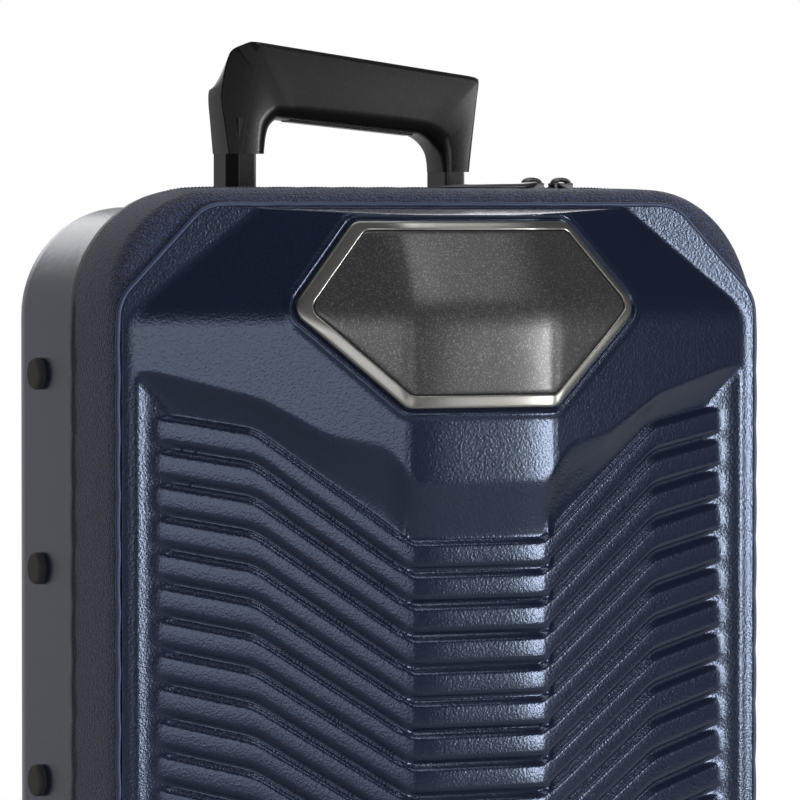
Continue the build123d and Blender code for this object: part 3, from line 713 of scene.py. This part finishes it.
def badge_panel():
    """Slightly pillowed plate, folded like the shell under it."""
    profile = [(panel_loop, -0.2, -0.9), (panel_loop, -0.2, -0.1), (panel_loop, -0.5, 0.35),
               (panel_loop, -1.3, 0.62)]
    loops = draped_loops(profile, badge_facets)
    rim = panel_loop(-1.3)
    for shrink in np.linspace(0.965, 0.0, 30):
        points = badge_middle + (rim - badge_middle) * shrink
        pillow = 0.62 + 0.8 * (1 - shrink ** 2)
        loops.append(place(points[:, 0], badge_facets(points[:, 0], points[:, 1]) - pillow,
                           points[:, 1]))
    verts, faces = loft(loops)
    faces.append(tuple(range(len(loops[0])))[::-1])
    obj = make("badge_plate", verts, faces, badge_graphite, sharp=50)
    merge = obj.modifiers.new("centre", "WELD")
    merge.merge_threshold = 0.00001
    return attach(obj, "front_half", "badge_graphite", "badge_panel")


badge_frame()
badge_panel()


# ---- piping and fabric gusset ----------------------------------------------------------------
def outward_normals(points):
    """Unit normals of a closed outline, pointing away from the shell's middle."""
    tangent = np.roll(points, -1, axis=0) - np.roll(points, 1, axis=0)
    tangent /= np.linalg.norm(tangent, axis=1)[:, None]
    normal = np.stack([tangent[:, 1], -tangent[:, 0]], axis=-1)
    if np.mean(np.sum(normal * (points - np.array([0, CENTRE_Z])), axis=1)) < 0:
        normal = -normal
    return normal


BEAD_SIDES = 10


def bead(name, outline, radius, depth, material_):
    """Round bead swept along a closed upright outline."""
    points = at_angles(outline, even_angles(outline, 2.5))
    normal = outward_normals(points)
    loops = []
    for angle in np.linspace(0, 2 * math.pi, BEAD_SIDES, endpoint=False):
        out, back = radius * math.cos(angle), radius * math.sin(angle)
        ring_points = points + normal * out
        loops.append(place(ring_points[:, 0], depth + back, ring_points[:, 1]))
    return make(name, *loft(loops, join=True), material_)


attach(bead("front_piping_bead", shell_outline(1.25), 1.45, RIM_DEPTH - 1.4, piping_navy),
       "front_half", "piping_navy", "front_piping")


FABRIC_ROUND = 66.0
FABRIC_ROLL = 12.0
FABRIC_THICK = 2.4


def gusset():
    """Padded fabric wall, rolled at the front, closed by an inner face."""
    outer = rounded_outline(FABRIC_HALF, LOW_Z, FABRIC_TOP, FABRIC_ROUND)
    angles = even_angles(outer, 2.5)
    wide, narrow = at_angles(outer, angles), at_angles(shell_outline(0.4), angles)
    inner = at_angles(rounded_outline(FABRIC_HALF, LOW_Z, FABRIC_TOP, FABRIC_ROUND,
                                      grow=-FABRIC_THICK), angles)
    tight = at_angles(shell_outline(-2.5), angles)
    normal = outward_normals(wide)
    front, back = FABRIC_DEPTH
    start = front + 0.3
    sections = [(narrow, start)]
    for t in np.linspace(0.12, 1, 9):
        a = t * math.pi / 2
        turned = start + FABRIC_ROLL * (1 - math.cos(a))
        sections.append((narrow + (wide - narrow) * math.sin(a), turned))
    for t in np.linspace(0, 1, 12)[1:]:
        swell = 0.5 * math.sin(math.pi * t)
        along = start + FABRIC_ROLL + (back - start - FABRIC_ROLL) * t
        sections.append((wide + normal * swell, along))
    sections += [(inner, back), (inner, front + 6.0), (tight, front + 2.6), (tight, front + 0.1)]
    loops = [place(p[:, 0], d, p[:, 1]) for p, d in sections]
    obj = make("gusset_fabric", *loft(loops, join=True), fabric_navy, sharp=60)
    return attach(obj, "front_half", "fabric_navy", "front_gusset")


gusset()


# ---- zip -------------------------------------------------------------------------------------
COIL_HALF, COIL_LOW, COIL_HIGH, COIL_ROUND = 204.0, 60.5, 545.5, 75.0
COIL_OUTLINE = rounded_outline(COIL_HALF, COIL_LOW, COIL_HIGH, COIL_ROUND, grow=-1.3)
TAPE_OUTLINE = rounded_outline(FABRIC_HALF, LOW_Z, FABRIC_TOP - 0.5, 67.0)
TAPE_THICK = 1.4
TOOTH_PITCH = 2.2
REAR_OUTLINE = rounded_outline(HALF_WIDTH, LOW_Z, RIM_Z, 62.0, grow=1.1)


def zip_half(name, body, node, tape, coil, phase):
    """Woven tape with its row of nylon teeth, each a bump along a swept coil."""
    points = at_angles(COIL_OUTLINE, even_angles(COIL_OUTLINE, TOOTH_PITCH / 4))
    count = len(points) - len(points) % 4
    points = points[:count]
    normal = outward_normals(points)
    bump = 0.5 + 0.5 * np.cos(2 * math.pi * (np.arange(count) / 4 + phase))
    half = (coil[1] - coil[0]) / 2
    loops = []
    for angle in np.linspace(0, 2 * math.pi, 8, endpoint=False):
        out = normal * (math.cos(angle) * (0.75 + 0.5 * bump))[:, None]
        deep = (coil[0] + coil[1]) / 2 + half * math.sin(angle) * (0.8 + 0.2 * bump)
        loops.append(place((points + out)[:, 0], deep, (points + out)[:, 1]))
    verts, faces = loft(loops, join=True)
    angles = even_angles(TAPE_OUTLINE, 4.0)
    outer = at_angles(TAPE_OUTLINE, angles)
    inner = outer - outward_normals(outer) * TAPE_THICK
    ribbon, more = loft([place(p[:, 0], d, p[:, 1]) for p, d in (
        (outer, tape[0]), (outer, tape[1]), (inner, tape[1]), (inner, tape[0]))], join=True)
    shift = len(verts)
    faces += [tuple(v + shift for v in f) for f in more]
    obj = make(name, np.concatenate([verts, ribbon]), faces, zip_coil, sharp=60)
    return attach(obj, body, "zip_coil", node)


zip_half("zip_teeth_front", "front_half", "front_zip", (FABRIC_DEPTH[1] - 0.6, ZIP_DEPTH - 0.25),
         (ZIP_DEPTH - 2.2, ZIP_DEPTH - 0.2), 0.0)
zip_half("zip_teeth_rear", "rear_half", "rear_zip", (ZIP_DEPTH + 0.25, ZIP_DEPTH + 4.5),
         (ZIP_DEPTH + 0.2, ZIP_DEPTH + 2.2), 0.5)
attach(bead("rear_piping_bead", REAR_OUTLINE, 1.3, ZIP_DEPTH + 6.1, piping_navy),
       "rear_half", "piping_navy", "rear_piping")


def rod_along(name, points, radii, material_, sides=14):
    """Bar of changing oval section (height, depth) along points given as x, depth, z."""
    points = np.array(points, float)
    tangent = np.gradient(points, axis=0)
    tangent /= np.linalg.norm(tangent, axis=1)[:, None]
    loops = []
    for p, t, (tall, deep) in zip(points, tangent, radii):
        up = np.array([-t[2], 0.0, t[0]])
        up /= np.linalg.norm(up)
        side = np.cross(t, up)
        ring_points = [p + up * tall * math.cos(a) + side * deep * math.sin(a)
                       for a in np.linspace(0, 2 * math.pi, sides, endpoint=False)]
        loops.append(place(*np.transpose(ring_points)))
    return make(name, *loft(loops, close_ends=True), material_, sharp=60)


def through(keys, count):
    """Evenly spaced numbers along a smooth run through key rows."""
    keys = np.array(keys, float)
    at = np.linspace(0, len(keys) - 1, count)
    i = np.clip(at.astype(int), 0, len(keys) - 2)
    t = (at - i)[:, None]
    p0, p1 = keys[np.maximum(i - 1, 0)], keys[i]
    p2, p3 = keys[i + 1], keys[np.minimum(i + 2, len(keys) - 1)]
    return 0.5 * (2 * p1 + (p2 - p0) * t + (2 * p0 - 5 * p1 + 4 * p2 - p3) * t ** 2
                  + (3 * p1 - p0 - 3 * p2 + p3) * t ** 3)


def slider(side):
    """Roof, two flanks and the arched bridge that holds the pull."""
    low, high = mm_box(f"zip_slider_{side}")
    x = (low[0] + high[0]) / 2
    depth = (low[1] + high[1]) / 2 - SPINE_Y
    base, top = low[2], high[2]
    roof = rounded_box(f"slider_{side}_roof", (x - 6.2, x + 6.2), (depth - 4.2, depth + 4.2),
                       (base + 2.4, base + 3.7), 0.5, zip_metal)
    attach(roof, f"slider_{side}", "zip_metal", f"zip_slider_{side}")
    for edge in (-1, 1):
        flank = rounded_box(f"slider_{side}_flank_{'front' if edge < 0 else 'back'}",
                            (x - 6.0, x + 6.0), sorted((depth + edge * 3.0, depth + edge * 4.2)),
                            (base, base + 3.0), 0.4, zip_metal)
        attach(flank, f"slider_{side}", "zip_metal")
    arch = [(x + 5.2 * math.cos(a), depth, base + 2.6 + (top - base - 4.1) * math.sin(a) ** 0.7)
            for a in np.linspace(0, math.pi, 25)]
    bail = rod_along(f"slider_{side}_bridge", arch, [(1.45, 2.3)] * 25, zip_metal)
    attach(bail, f"slider_{side}", "zip_metal")


def pull(side, keys):
    """Long slim pull: rows of x, depth, height above the shell, half height, half depth."""
    rows = through(keys, 60)
    points = [(x, d, TOP_Z + up) for x, d, up, _, _ in rows]
    blade = rod_along(f"pull_{side}_blade", points, [(tall, deep) for *_, tall, deep in rows],
                      zip_metal, 18)
    attach(blade, f"pull_{side}", "zip_metal", f"zip_pull_{side}")


slider("left")
slider("right")
pull("left", [(87.6, 101.5, 18.0, 0.8, 1.3), (83.5, 99.5, 17.0, 1.7, 2.6), (74, 97.0, 15.8, 2.1, 3.8),
              (55, 96.5, 15.6, 2.0, 4.2), (36, 96.5, 15.5, 1.5, 3.6), (24, 96.7, 15.4, 0.9, 2.2),
              (21.5, 96.8, 15.3, 0.4, 1.0)])
pull("right", [(101.0, 101.5, 17.6, 0.9, 1.6), (104.5, 97.5, 14.4, 1.5, 2.6),
               (113, 95.8, 11.4, 1.6, 3.6), (124, 95.3, 8.2, 1.5, 3.6), (134, 95.0, 6.0, 1.4, 3.4),
               (148, 94.8, 5.5, 1.2, 3.0), (160, 94.8, 5.3, 0.9, 2.2), (165.0, 94.8, 5.2, 0.5, 1.1)])


# ---- pull handle -----------------------------------------------------------------------------
# Stations round the grip: outer corner x and height, inner corner x and height above the shell.
GRIP_STATIONS = [
    (-77.0, 34.7, -54.0, 34.7), (-78.6, 52.0, -52.4, 44.0), (-79.8, 68.0, -49.8, 50.0),
    (-77.6, 82.0, -47.4, 52.8), (-74.8, 91.5, -45.5, 54.2), (-71.5, 96.9, -44.0, 54.7),
    (-66.5, 99.6, -41.5, 54.66), (-58.0, 99.0, -36.0, 54.14), (-40.0, 96.6, -30.0, 53.57),
    (0.0, 91.3, 0.0, 50.74), (40.0, 86.0, 30.0, 47.91), (66.0, 82.6, 44.0, 46.6),
    (78.5, 80.9, 47.5, 46.1), (82.8, 79.8, 49.5, 45.3), (84.3, 77.3, 51.5, 44.3),
    (82.9, 66.0, 55.5, 41.3), (80.9, 50.0, 59.5, 36.0), (79.2, 36.0, 61.0, 30.0),
    (77.9, 24.7, 61.4, 24.7)]
grip_low, grip_high = mm_box("handle_grip")
GRIP_FRONT, GRIP_BACK = grip_low[1] - SPINE_Y, grip_high[1] - SPINE_Y
GRIP_TOP, GRIP_TOP_X, GRIP_SLOPE = 99.5, -62.0, 0.132
GRIP_TOP_FALL = 25.0
GRIP_END_FALL = 0.45
UNDERSIDE_LEFT, UNDERSIDE_RIGHT = (-41.5, 54.66), (44.0, 46.6)
FACET_SLOPE = 0.514
HOLE_HALF, HOLE_INSET, HOLE_ROOF = 6.4, 2.0, 15.0
TUBE_HALF = 8.1
BUTTON_GAP = 0.35
END_CREASE_X, END_CREASE_SLANT = -59.0, 0.1775


def cut_away(obj, cutters):
    """Takes the cutters' volume out of a piece and removes the cutters."""
    for number, cutter in enumerate(cutters):
        boolean = obj.modifiers.new(f"cut{number}", "BOOLEAN")
        boolean.operation = "DIFFERENCE"
        boolean.solver = "EXACT"
        boolean.object = cutter
    bpy.context.view_layer.update()
    evaluated = obj.evaluated_get(bpy.context.evaluated_depsgraph_get())
    mesh = bpy.data.meshes.new_from_object(evaluated)
    obj.modifiers.clear()
    obj.data = mesh
    for cutter in cutters:
        bpy.data.objects.remove(cutter)


def grip_section(ox, oz, ix, iz):
    """Closed section between an outer and an inner corner, front left end cut to a facet."""
    length = math.hypot(ox - ix, oz - iz)

    def crossing(f_inner, f_outer):
        return length * f_inner / (f_inner - f_outer)

    def past_crease(x, z):
        return END_CREASE_X - END_CREASE_SLANT * (GRIP_TOP - z) - x

    cut_p, cut_d = 2.2, 2.2
    if past_crease(ox, oz) > 0:
        cut_p = max(cut_p, length - crossing(past_crease(ix, iz), past_crease(ox, oz)))
        cut_d = max(cut_d, FACET_SLOPE * past_crease(ox, oz))
    corners = [(0, GRIP_FRONT), (length - cut_p, GRIP_FRONT), (length, GRIP_FRONT + cut_d),
               (length, GRIP_BACK), (0, GRIP_BACK)]
    section = round_polygon(corners, [min(10.0, length * 0.3), 1.6, 1.6, 3.0, 5.0], 6)
    x = ix + (ox - ix) * section[:, 0] / length
    z = iz + (oz - iz) * section[:, 0] / length
    behind = np.clip((section[:, 1] - GRIP_FRONT - 1.5) / (GRIP_BACK - GRIP_FRONT - 1.5), 0, 1)
    fall = behind * (GRIP_TOP_FALL + GRIP_END_FALL * np.maximum(0.0, END_CREASE_X - x))
    z = np.minimum(z, GRIP_TOP + 0.4 - GRIP_SLOPE * (x - GRIP_TOP_X) - fall)
    return place(x, section[:, 1], TOP_Z + z)


def under_grip(x):
    """Height of the sloping underside of the grip."""
    (x0, z0), (x1, z1) = UNDERSIDE_LEFT, UNDERSIDE_RIGHT
    return TOP_Z + z0 + (z1 - z0) / (x1 - x0) * (x - x0)


def handle_grip():
    """Moulded grip with a pocket for its button and a hole in each leg."""
    loops = [grip_section(*row) for row in through(GRIP_STATIONS, 150)]
    obj = make("grip_moulding", *loft(loops, close_ends=True), handle_black, sharp=35)
    button_low, button_high = mm_box("grip_button")
    depths = (button_low[1] - SPINE_Y - BUTTON_GAP, button_high[1] - SPINE_Y + BUTTON_GAP)
    corners = [(x, depth, under_grip(x) + up)
               for x in (button_low[0] - BUTTON_GAP, button_high[0] + BUTTON_GAP)
               for depth in depths for up in (-4.0, 8.2)]
    points = [place(*corner)[0] for corner in corners]
    cutters = [make("pocket_cutter", points, BOX_FACES, handle_black, smooth=False)]
    tubes_low, tubes_high = mm_box("inner_tubes")
    for name, x in (("left", tubes_low[0] + TUBE_HALF), ("right", tubes_high[0] - TUBE_HALF)):
        hole = rounded_box(f"hole_{name}", (x - HOLE_HALF, x + HOLE_HALF),
                           (tubes_low[1] - SPINE_Y + HOLE_INSET,
                            tubes_high[1] - SPINE_Y - HOLE_INSET),
                           (TOP_Z, tubes_high[2] - HOLE_ROOF), 0.5, handle_black)
        hole.modifiers.clear()
        cutters.append(hole)
    cut_away(obj, cutters)
    obj.data.set_sharp_from_angle(angle=math.radians(35))
    return attach(obj, "inner_stage", "handle_black", "handle_grip")


handle_grip()


# ---- CAD shapes that only need softer edges --------------------------------------------------
def softened(node, width):
    """Copy of a CAD node with its edges rounded, standing for the node."""
    source = frame["nodes"][node]
    mesh = source.data.copy()
    work = bmesh.new()
    work.from_mesh(mesh)
    bmesh.ops.remove_doubles(work, verts=work.verts, dist=2e-6)
    bmesh.ops.dissolve_limit(work, angle_limit=math.radians(0.6), verts=work.verts,
                             edges=work.edges, delimit=set())
    work.to_mesh(mesh)
    work.free()
    obj = bpy.data.objects.new(f"{node}_finished", mesh)
    bpy.context.scene.collection.objects.link(obj)
    mesh.shade_smooth()
    mesh.set_sharp_from_angle(angle=math.radians(SHARP_ANGLE))
    rounding(obj, width)
    slot = next(p["material_slot"] for p in frame["record"]["subparts"] if p["node"] == node)
    return attach(obj, source["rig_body"], slot, node)


for node, width in (("front_base_tray", 1.2), ("rear_base_tray", 1.2), ("handle_cup", 0.5),
                    ("outer_collars", 0.8), ("middle_collars", 0.6), ("lock_body", 0.5),
                    ("lock_button", 0.5), ("top_carry_handle", 1.0), ("side_carry_handle", 1.0),
                    ("strap_buckles", 0.9), ("tube_foot", 1.0), ("grip_button", 0.5)):
    softened(node, width)
for tag in ("fl", "fr", "rl", "rr"):
    softened(f"caster_fork_{tag}", 0.7)


# ---- wheels ----------------------------------------------------------------------------------
def lathe_x(name, centre, profile, material_, count=72, dent=None):
    """Ring turned about an axle along x, from (x offset, radius) points; dent moves x by angle."""
    loops = []
    for angle in np.linspace(0, 2 * math.pi, count, endpoint=False):
        rows = []
        for x, radius in profile:
            push = dent(x, radius, angle) if dent else 0.0
            rows.append((centre[0] + x + push, centre[1] + radius * math.cos(angle),
                         centre[2] + radius * math.sin(angle)))
        loops.append(place(*np.transpose(rows)))
    return make(name, *loft(loops, join=True), material_, sharp=40)


WHEEL_OFFSET, TYRE_HALF = 9.5, 5.5
SPOKE_COUNT, SPOKE_POCKET = 5, 1.5


def both_sides(profile):
    """Profile from the negative side over the middle to the positive side."""
    return [(-x, radius) for x, radius in profile] + profile[::-1]


def wheel(tag, side, label):
    """Grooved tyre on a hub with hollows between its spokes."""
    low, high = mm_box(f"caster_tyres_{tag}")
    radius = (high[2] - low[2]) / 2
    x_mid = (low[0] + high[0]) / 2 + side * WHEEL_OFFSET
    centre = (x_mid, (low[1] + high[1]) / 2 - SPINE_Y, (low[2] + high[2]) / 2)
    tyre_profile = both_sides([(TYRE_HALF, 17.0), (TYRE_HALF, 21.5), (4.9, 23.6), (3.6, 24.8),
                               (2.6, radius), (2.1, radius), (1.9, 24.4), (1.3, 24.4),
                               (1.1, radius)])
    tyre = lathe_x(f"tyre_{tag}_{label}", centre, tyre_profile, tyre_rubber, 96)
    hub_profile = both_sides([(5.0, 3.1), (5.0, 6.5), (4.2, 7.4), (3.6, 9.5), (3.6, 12.5),
                              (4.2, 14.4), (5.0, 15.2), (5.0, 16.9)])

    def spokes(x, r, angle):
        pocket = step(0.25, 0.6, np.array(0.5 - 0.5 * math.cos(SPOKE_COUNT * angle)))
        inside = 1.0 if 7.0 < r < 15.0 and abs(x) < 4.5 else 0.0
        return -math.copysign(SPOKE_POCKET * float(pocket) * inside, x)

    hub = lathe_x(f"hub_{tag}_{label}", centre, hub_profile, hub_grey, 80, spokes)
    attach(tyre, f"wheels_{tag}", "tyre_rubber", f"caster_tyres_{tag}")
    attach(hub, f"wheels_{tag}", "hub_grey", f"caster_hubs_{tag}")


for tag in ("fl", "fr", "rl", "rr"):
    wheel(tag, -1, "left")
    wheel(tag, 1, "right")


# ---- linings and straps ----------------------------------------------------------------------
CLOTH_THICK = 0.7
LINING_GAP, TRAY_GAP, LOCK_GAP = 4.4, 9.0, 2.5
TUBE_SPAN = 29.0


def thicken(obj):
    solid = obj.modifiers.new("cloth", "SOLIDIFY")
    solid.thickness = CLOTH_THICK * MM
    solid.offset = 0


def wrinkle(x, z, size):
    """Faint uneven waves of glued cloth."""
    return size * (np.sin(x / 17.0 + 1.3 * np.sin(z / 41.0)) * np.sin(z / 29.0 + 0.8)
                   + 0.5 * np.sin(x / 9.0 - z / 13.0))


def front_lining():
    """Cloth inside the front half: round the fabric wall and over the back of the moulding."""
    angles = even_angles(rounded_outline(FABRIC_HALF, LOW_Z, FABRIC_TOP, FABRIC_ROUND), 6.0)
    wide = at_angles(rounded_outline(FABRIC_HALF, LOW_Z, FABRIC_TOP, FABRIC_ROUND, grow=-3.6),
                     angles)
    throat = at_angles(shell_outline(-4.5), angles)
    sections = [(wide, FABRIC_DEPTH[1] - 0.8), (wide, 92.0), (wide, 80.0), (wide, 68.0),
                (wide, 57.0), ((wide + throat) / 2, 54.0), (throat, 51.5)]
    loops = [place(p[:, 0], d, p[:, 1]) for p, d in sections]
    for shrink in np.linspace(0.985, 0.02, 34):
        x = throat[:, 0] * shrink
        z = CENTRE_Z + (throat[:, 1] - CENTRE_Z) * shrink
        depth = soft_min(facets(x, z) + SHELL_BACK + 2.9 + wrinkle(x, z, 0.45), 50.5, 2.5)
        loops.append(place(x, depth, z))
    verts, faces = loft(loops)
    faces.append(tuple(range(len(verts) - len(angles), len(verts))))
    obj = make("front_lining_cloth", verts, faces, lining_grey)
    thicken(obj)
    return attach(obj, "front_half", "lining_grey", "front_lining")


def grown_box(node, margin):
    """Box of a node made larger all round: low x, depth, z, then high x, depth, z."""
    low, high = mm_box(node)
    return [low[0] - margin, low[1] - SPINE_Y - margin, low[2] - margin,
            high[0] + margin, high[1] - SPINE_Y + margin, high[2] + margin]


def rear_lining():
    """Cloth inside the rear half, pushed out over the tubes, trays and lock, then smoothed."""
    rear_low, rear_high = mm_box("rear_shell")
    back = rear_high[1] - SPINE_Y
    front = rear_low[1] - SPINE_Y
    outline = rounded_outline(HALF_WIDTH, LOW_Z, RIM_Z, 62.0, 30.0, -4.2)
    angles = even_angles(outline, 5.0)
    wall = at_angles(outline, angles)
    rows = []
    for depth in np.linspace(front + 1.2, back - 30.0, 16):
        rows.append((wall[:, 0], np.full(len(angles), depth), wall[:, 1]))
    bend = 24.0
    for a in np.linspace(0, math.pi / 2, 9)[1:]:
        inset = bend * (1 - math.cos(a))
        shrink = 1 - inset / HALF_WIDTH
        deep = back - 30.0 + (bend + 1.4) * math.sin(a)
        rows.append((wall[:, 0] * shrink, np.full(len(angles), deep),
                     CENTRE_Z + (wall[:, 1] - CENTRE_Z) * shrink))
    for shrink in np.linspace(1 - bend / HALF_WIDTH - 0.02, 0.01, 40):
        rows.append((wall[:, 0] * shrink, np.full(len(angles), back - 4.6),
                     CENTRE_Z + (wall[:, 1] - CENTRE_Z) * shrink))
    x, depth, z = (np.array([row[i] for row in rows]) for i in range(3))
    cup, foot = grown_box("handle_cup", LINING_GAP), grown_box("tube_foot", LINING_GAP)
    tubes = grown_box("outer_tubes", LINING_GAP)
    left_tube = tubes[:3] + [tubes[0] + TUBE_SPAN] + tubes[4:]
    right_tube = [tubes[3] - TUBE_SPAN] + tubes[1:]
    forward = [cup, foot, left_tube, right_tube]
    top_tray = grown_box("top_carry_guides", TRAY_GAP)
    side_tray = grown_box("side_carry_guides", TRAY_GAP)
    lock = grown_box("lock_body", LOCK_GAP)
    past_rim = np.arange(len(rows))[:, None] > 1
    for _ in range(14):
        for box_ in forward:
            inside = ((x > box_[0]) & (x < box_[3]) & (z > box_[2]) & (z < box_[5])
                      & (depth > box_[1]))
            depth = np.where(inside, box_[1], depth)
        for box_ in (side_tray, lock):
            inside = ((z > box_[2]) & (z < box_[5]) & (depth > box_[1]) & (depth < box_[4])
                      & (x > box_[0]) & past_rim)
            x = np.where(inside, box_[0], x)
        inside = ((x > top_tray[0]) & (x < top_tray[3]) & (depth < top_tray[4] + 4)
                  & (z > top_tray[2]) & past_rim)
        z = np.where(inside, top_tray[2], z)
        for grid in (x, depth, z):
            smooth_rows = (np.roll(grid, 1, axis=1) + np.roll(grid, -1, axis=1)) / 2
            smooth_columns = grid.copy()
            smooth_columns[1:-1] = (grid[:-2] + grid[2:]) / 2
            grid[1:-1] = (0.5 * grid + 0.25 * smooth_rows + 0.25 * smooth_columns)[1:-1]
    loops = [place(x[i], depth[i], z[i]) for i in range(len(rows))]
    verts, faces = loft(loops)
    faces.append(tuple(range(len(verts) - len(angles), len(verts))))
    obj = make("rear_lining_cloth", verts, faces, lining_grey)
    thicken(obj)
    return attach(obj, "rear_half", "lining_grey", "rear_lining")


front_lining()
rear_lining()


STRAP_MIDDLE, STRAP_HALF, STRAP_THICK, STRAP_SAG = 12.5, 12.4, 0.7, 1.6


def packing_straps():
    """Four webbing straps with a woven edge, drawn slightly slack towards the buckles."""
    low, high = mm_box("packing_straps")
    buckle_low, buckle_high = mm_box("strap_buckles")
    front = low[1] - SPINE_Y + STRAP_THICK
    thick, half = STRAP_THICK, STRAP_HALF
    section = [(-thick, 0.8 - half), (-0.5, -half), (0.5, -half), (thick, 0.8 - half),
               (thick, half - 0.8), (0.5, half), (-0.5, half), (-thick, half - 0.8)]
    runs = (("left", low[0], buckle_low[0] + 1), ("right", buckle_high[0] - 1, high[0]))
    for level, z in (("low", low[2] + STRAP_MIDDLE), ("high", high[2] - STRAP_MIDDLE)):
        for label, start, end in runs:
            loops = []
            for t in np.linspace(0, 1, 40):
                sag = STRAP_SAG * math.sin(math.pi * t)
                x = start + (end - start) * t
                loops.append(np.concatenate([place(x, front + sag + d, z + h)
                                             for d, h in section]))
            strap = make(f"strap_{level}_{label}", *loft(loops, close_ends=True), webbing, sharp=50)
            attach(strap, "rear_half", "webbing", "packing_straps")


packing_straps()


# ---- ribs on the back ------------------------------------------------------------------------
BACK_RIBS, BACK_RIB_LOW, BACK_RIB_PITCH = 15, 150.0, 18.5
BACK_RIB_HALF, BACK_RIB_CAP, BACK_RIB_SLANT = 140.0, 5.4, 0.10
BACK_RIB_SECTION = [(-5.6, -1.5), (-5.4, -0.1), (-4.6, 1.2), (-3.2, 1.9), (0.0, 2.2), (3.2, 1.9),
                    (4.6, 1.2), (5.4, -0.1), (5.6, -1.5)]


def back_ribs():
    """Moulded bars across the back face, matching the pitch of the front."""
    rear_low, rear_high = mm_box("rear_shell")
    surface = rear_high[1] - SPINE_Y
    straight = BACK_RIB_HALF - BACK_RIB_CAP
    for number in range(BACK_RIBS):
        z = BACK_RIB_LOW + BACK_RIB_PITCH * number
        loops = []
        for x in BACK_RIB_HALF * np.linspace(-1, 1, 61):
            past = max(0.0, abs(x) - straight) / BACK_RIB_CAP
            end = max(math.sqrt(max(0.0, 1 - past ** 2)), 0.05)
            level = z - BACK_RIB_SLANT * max(0.0, abs(x) - BAND_HALF)
            rows = [(x, surface + (up if up < 0 else up * end), level + h * end)
                    for h, up in BACK_RIB_SECTION]
            loops.append(place(*np.transpose(rows)))
        bar = make(f"back_rib_{number + 1}", *loft(loops, close_ends=True), shell_navy, sharp=60)
        attach(bar, "rear_half", "shell_navy")


back_ribs()
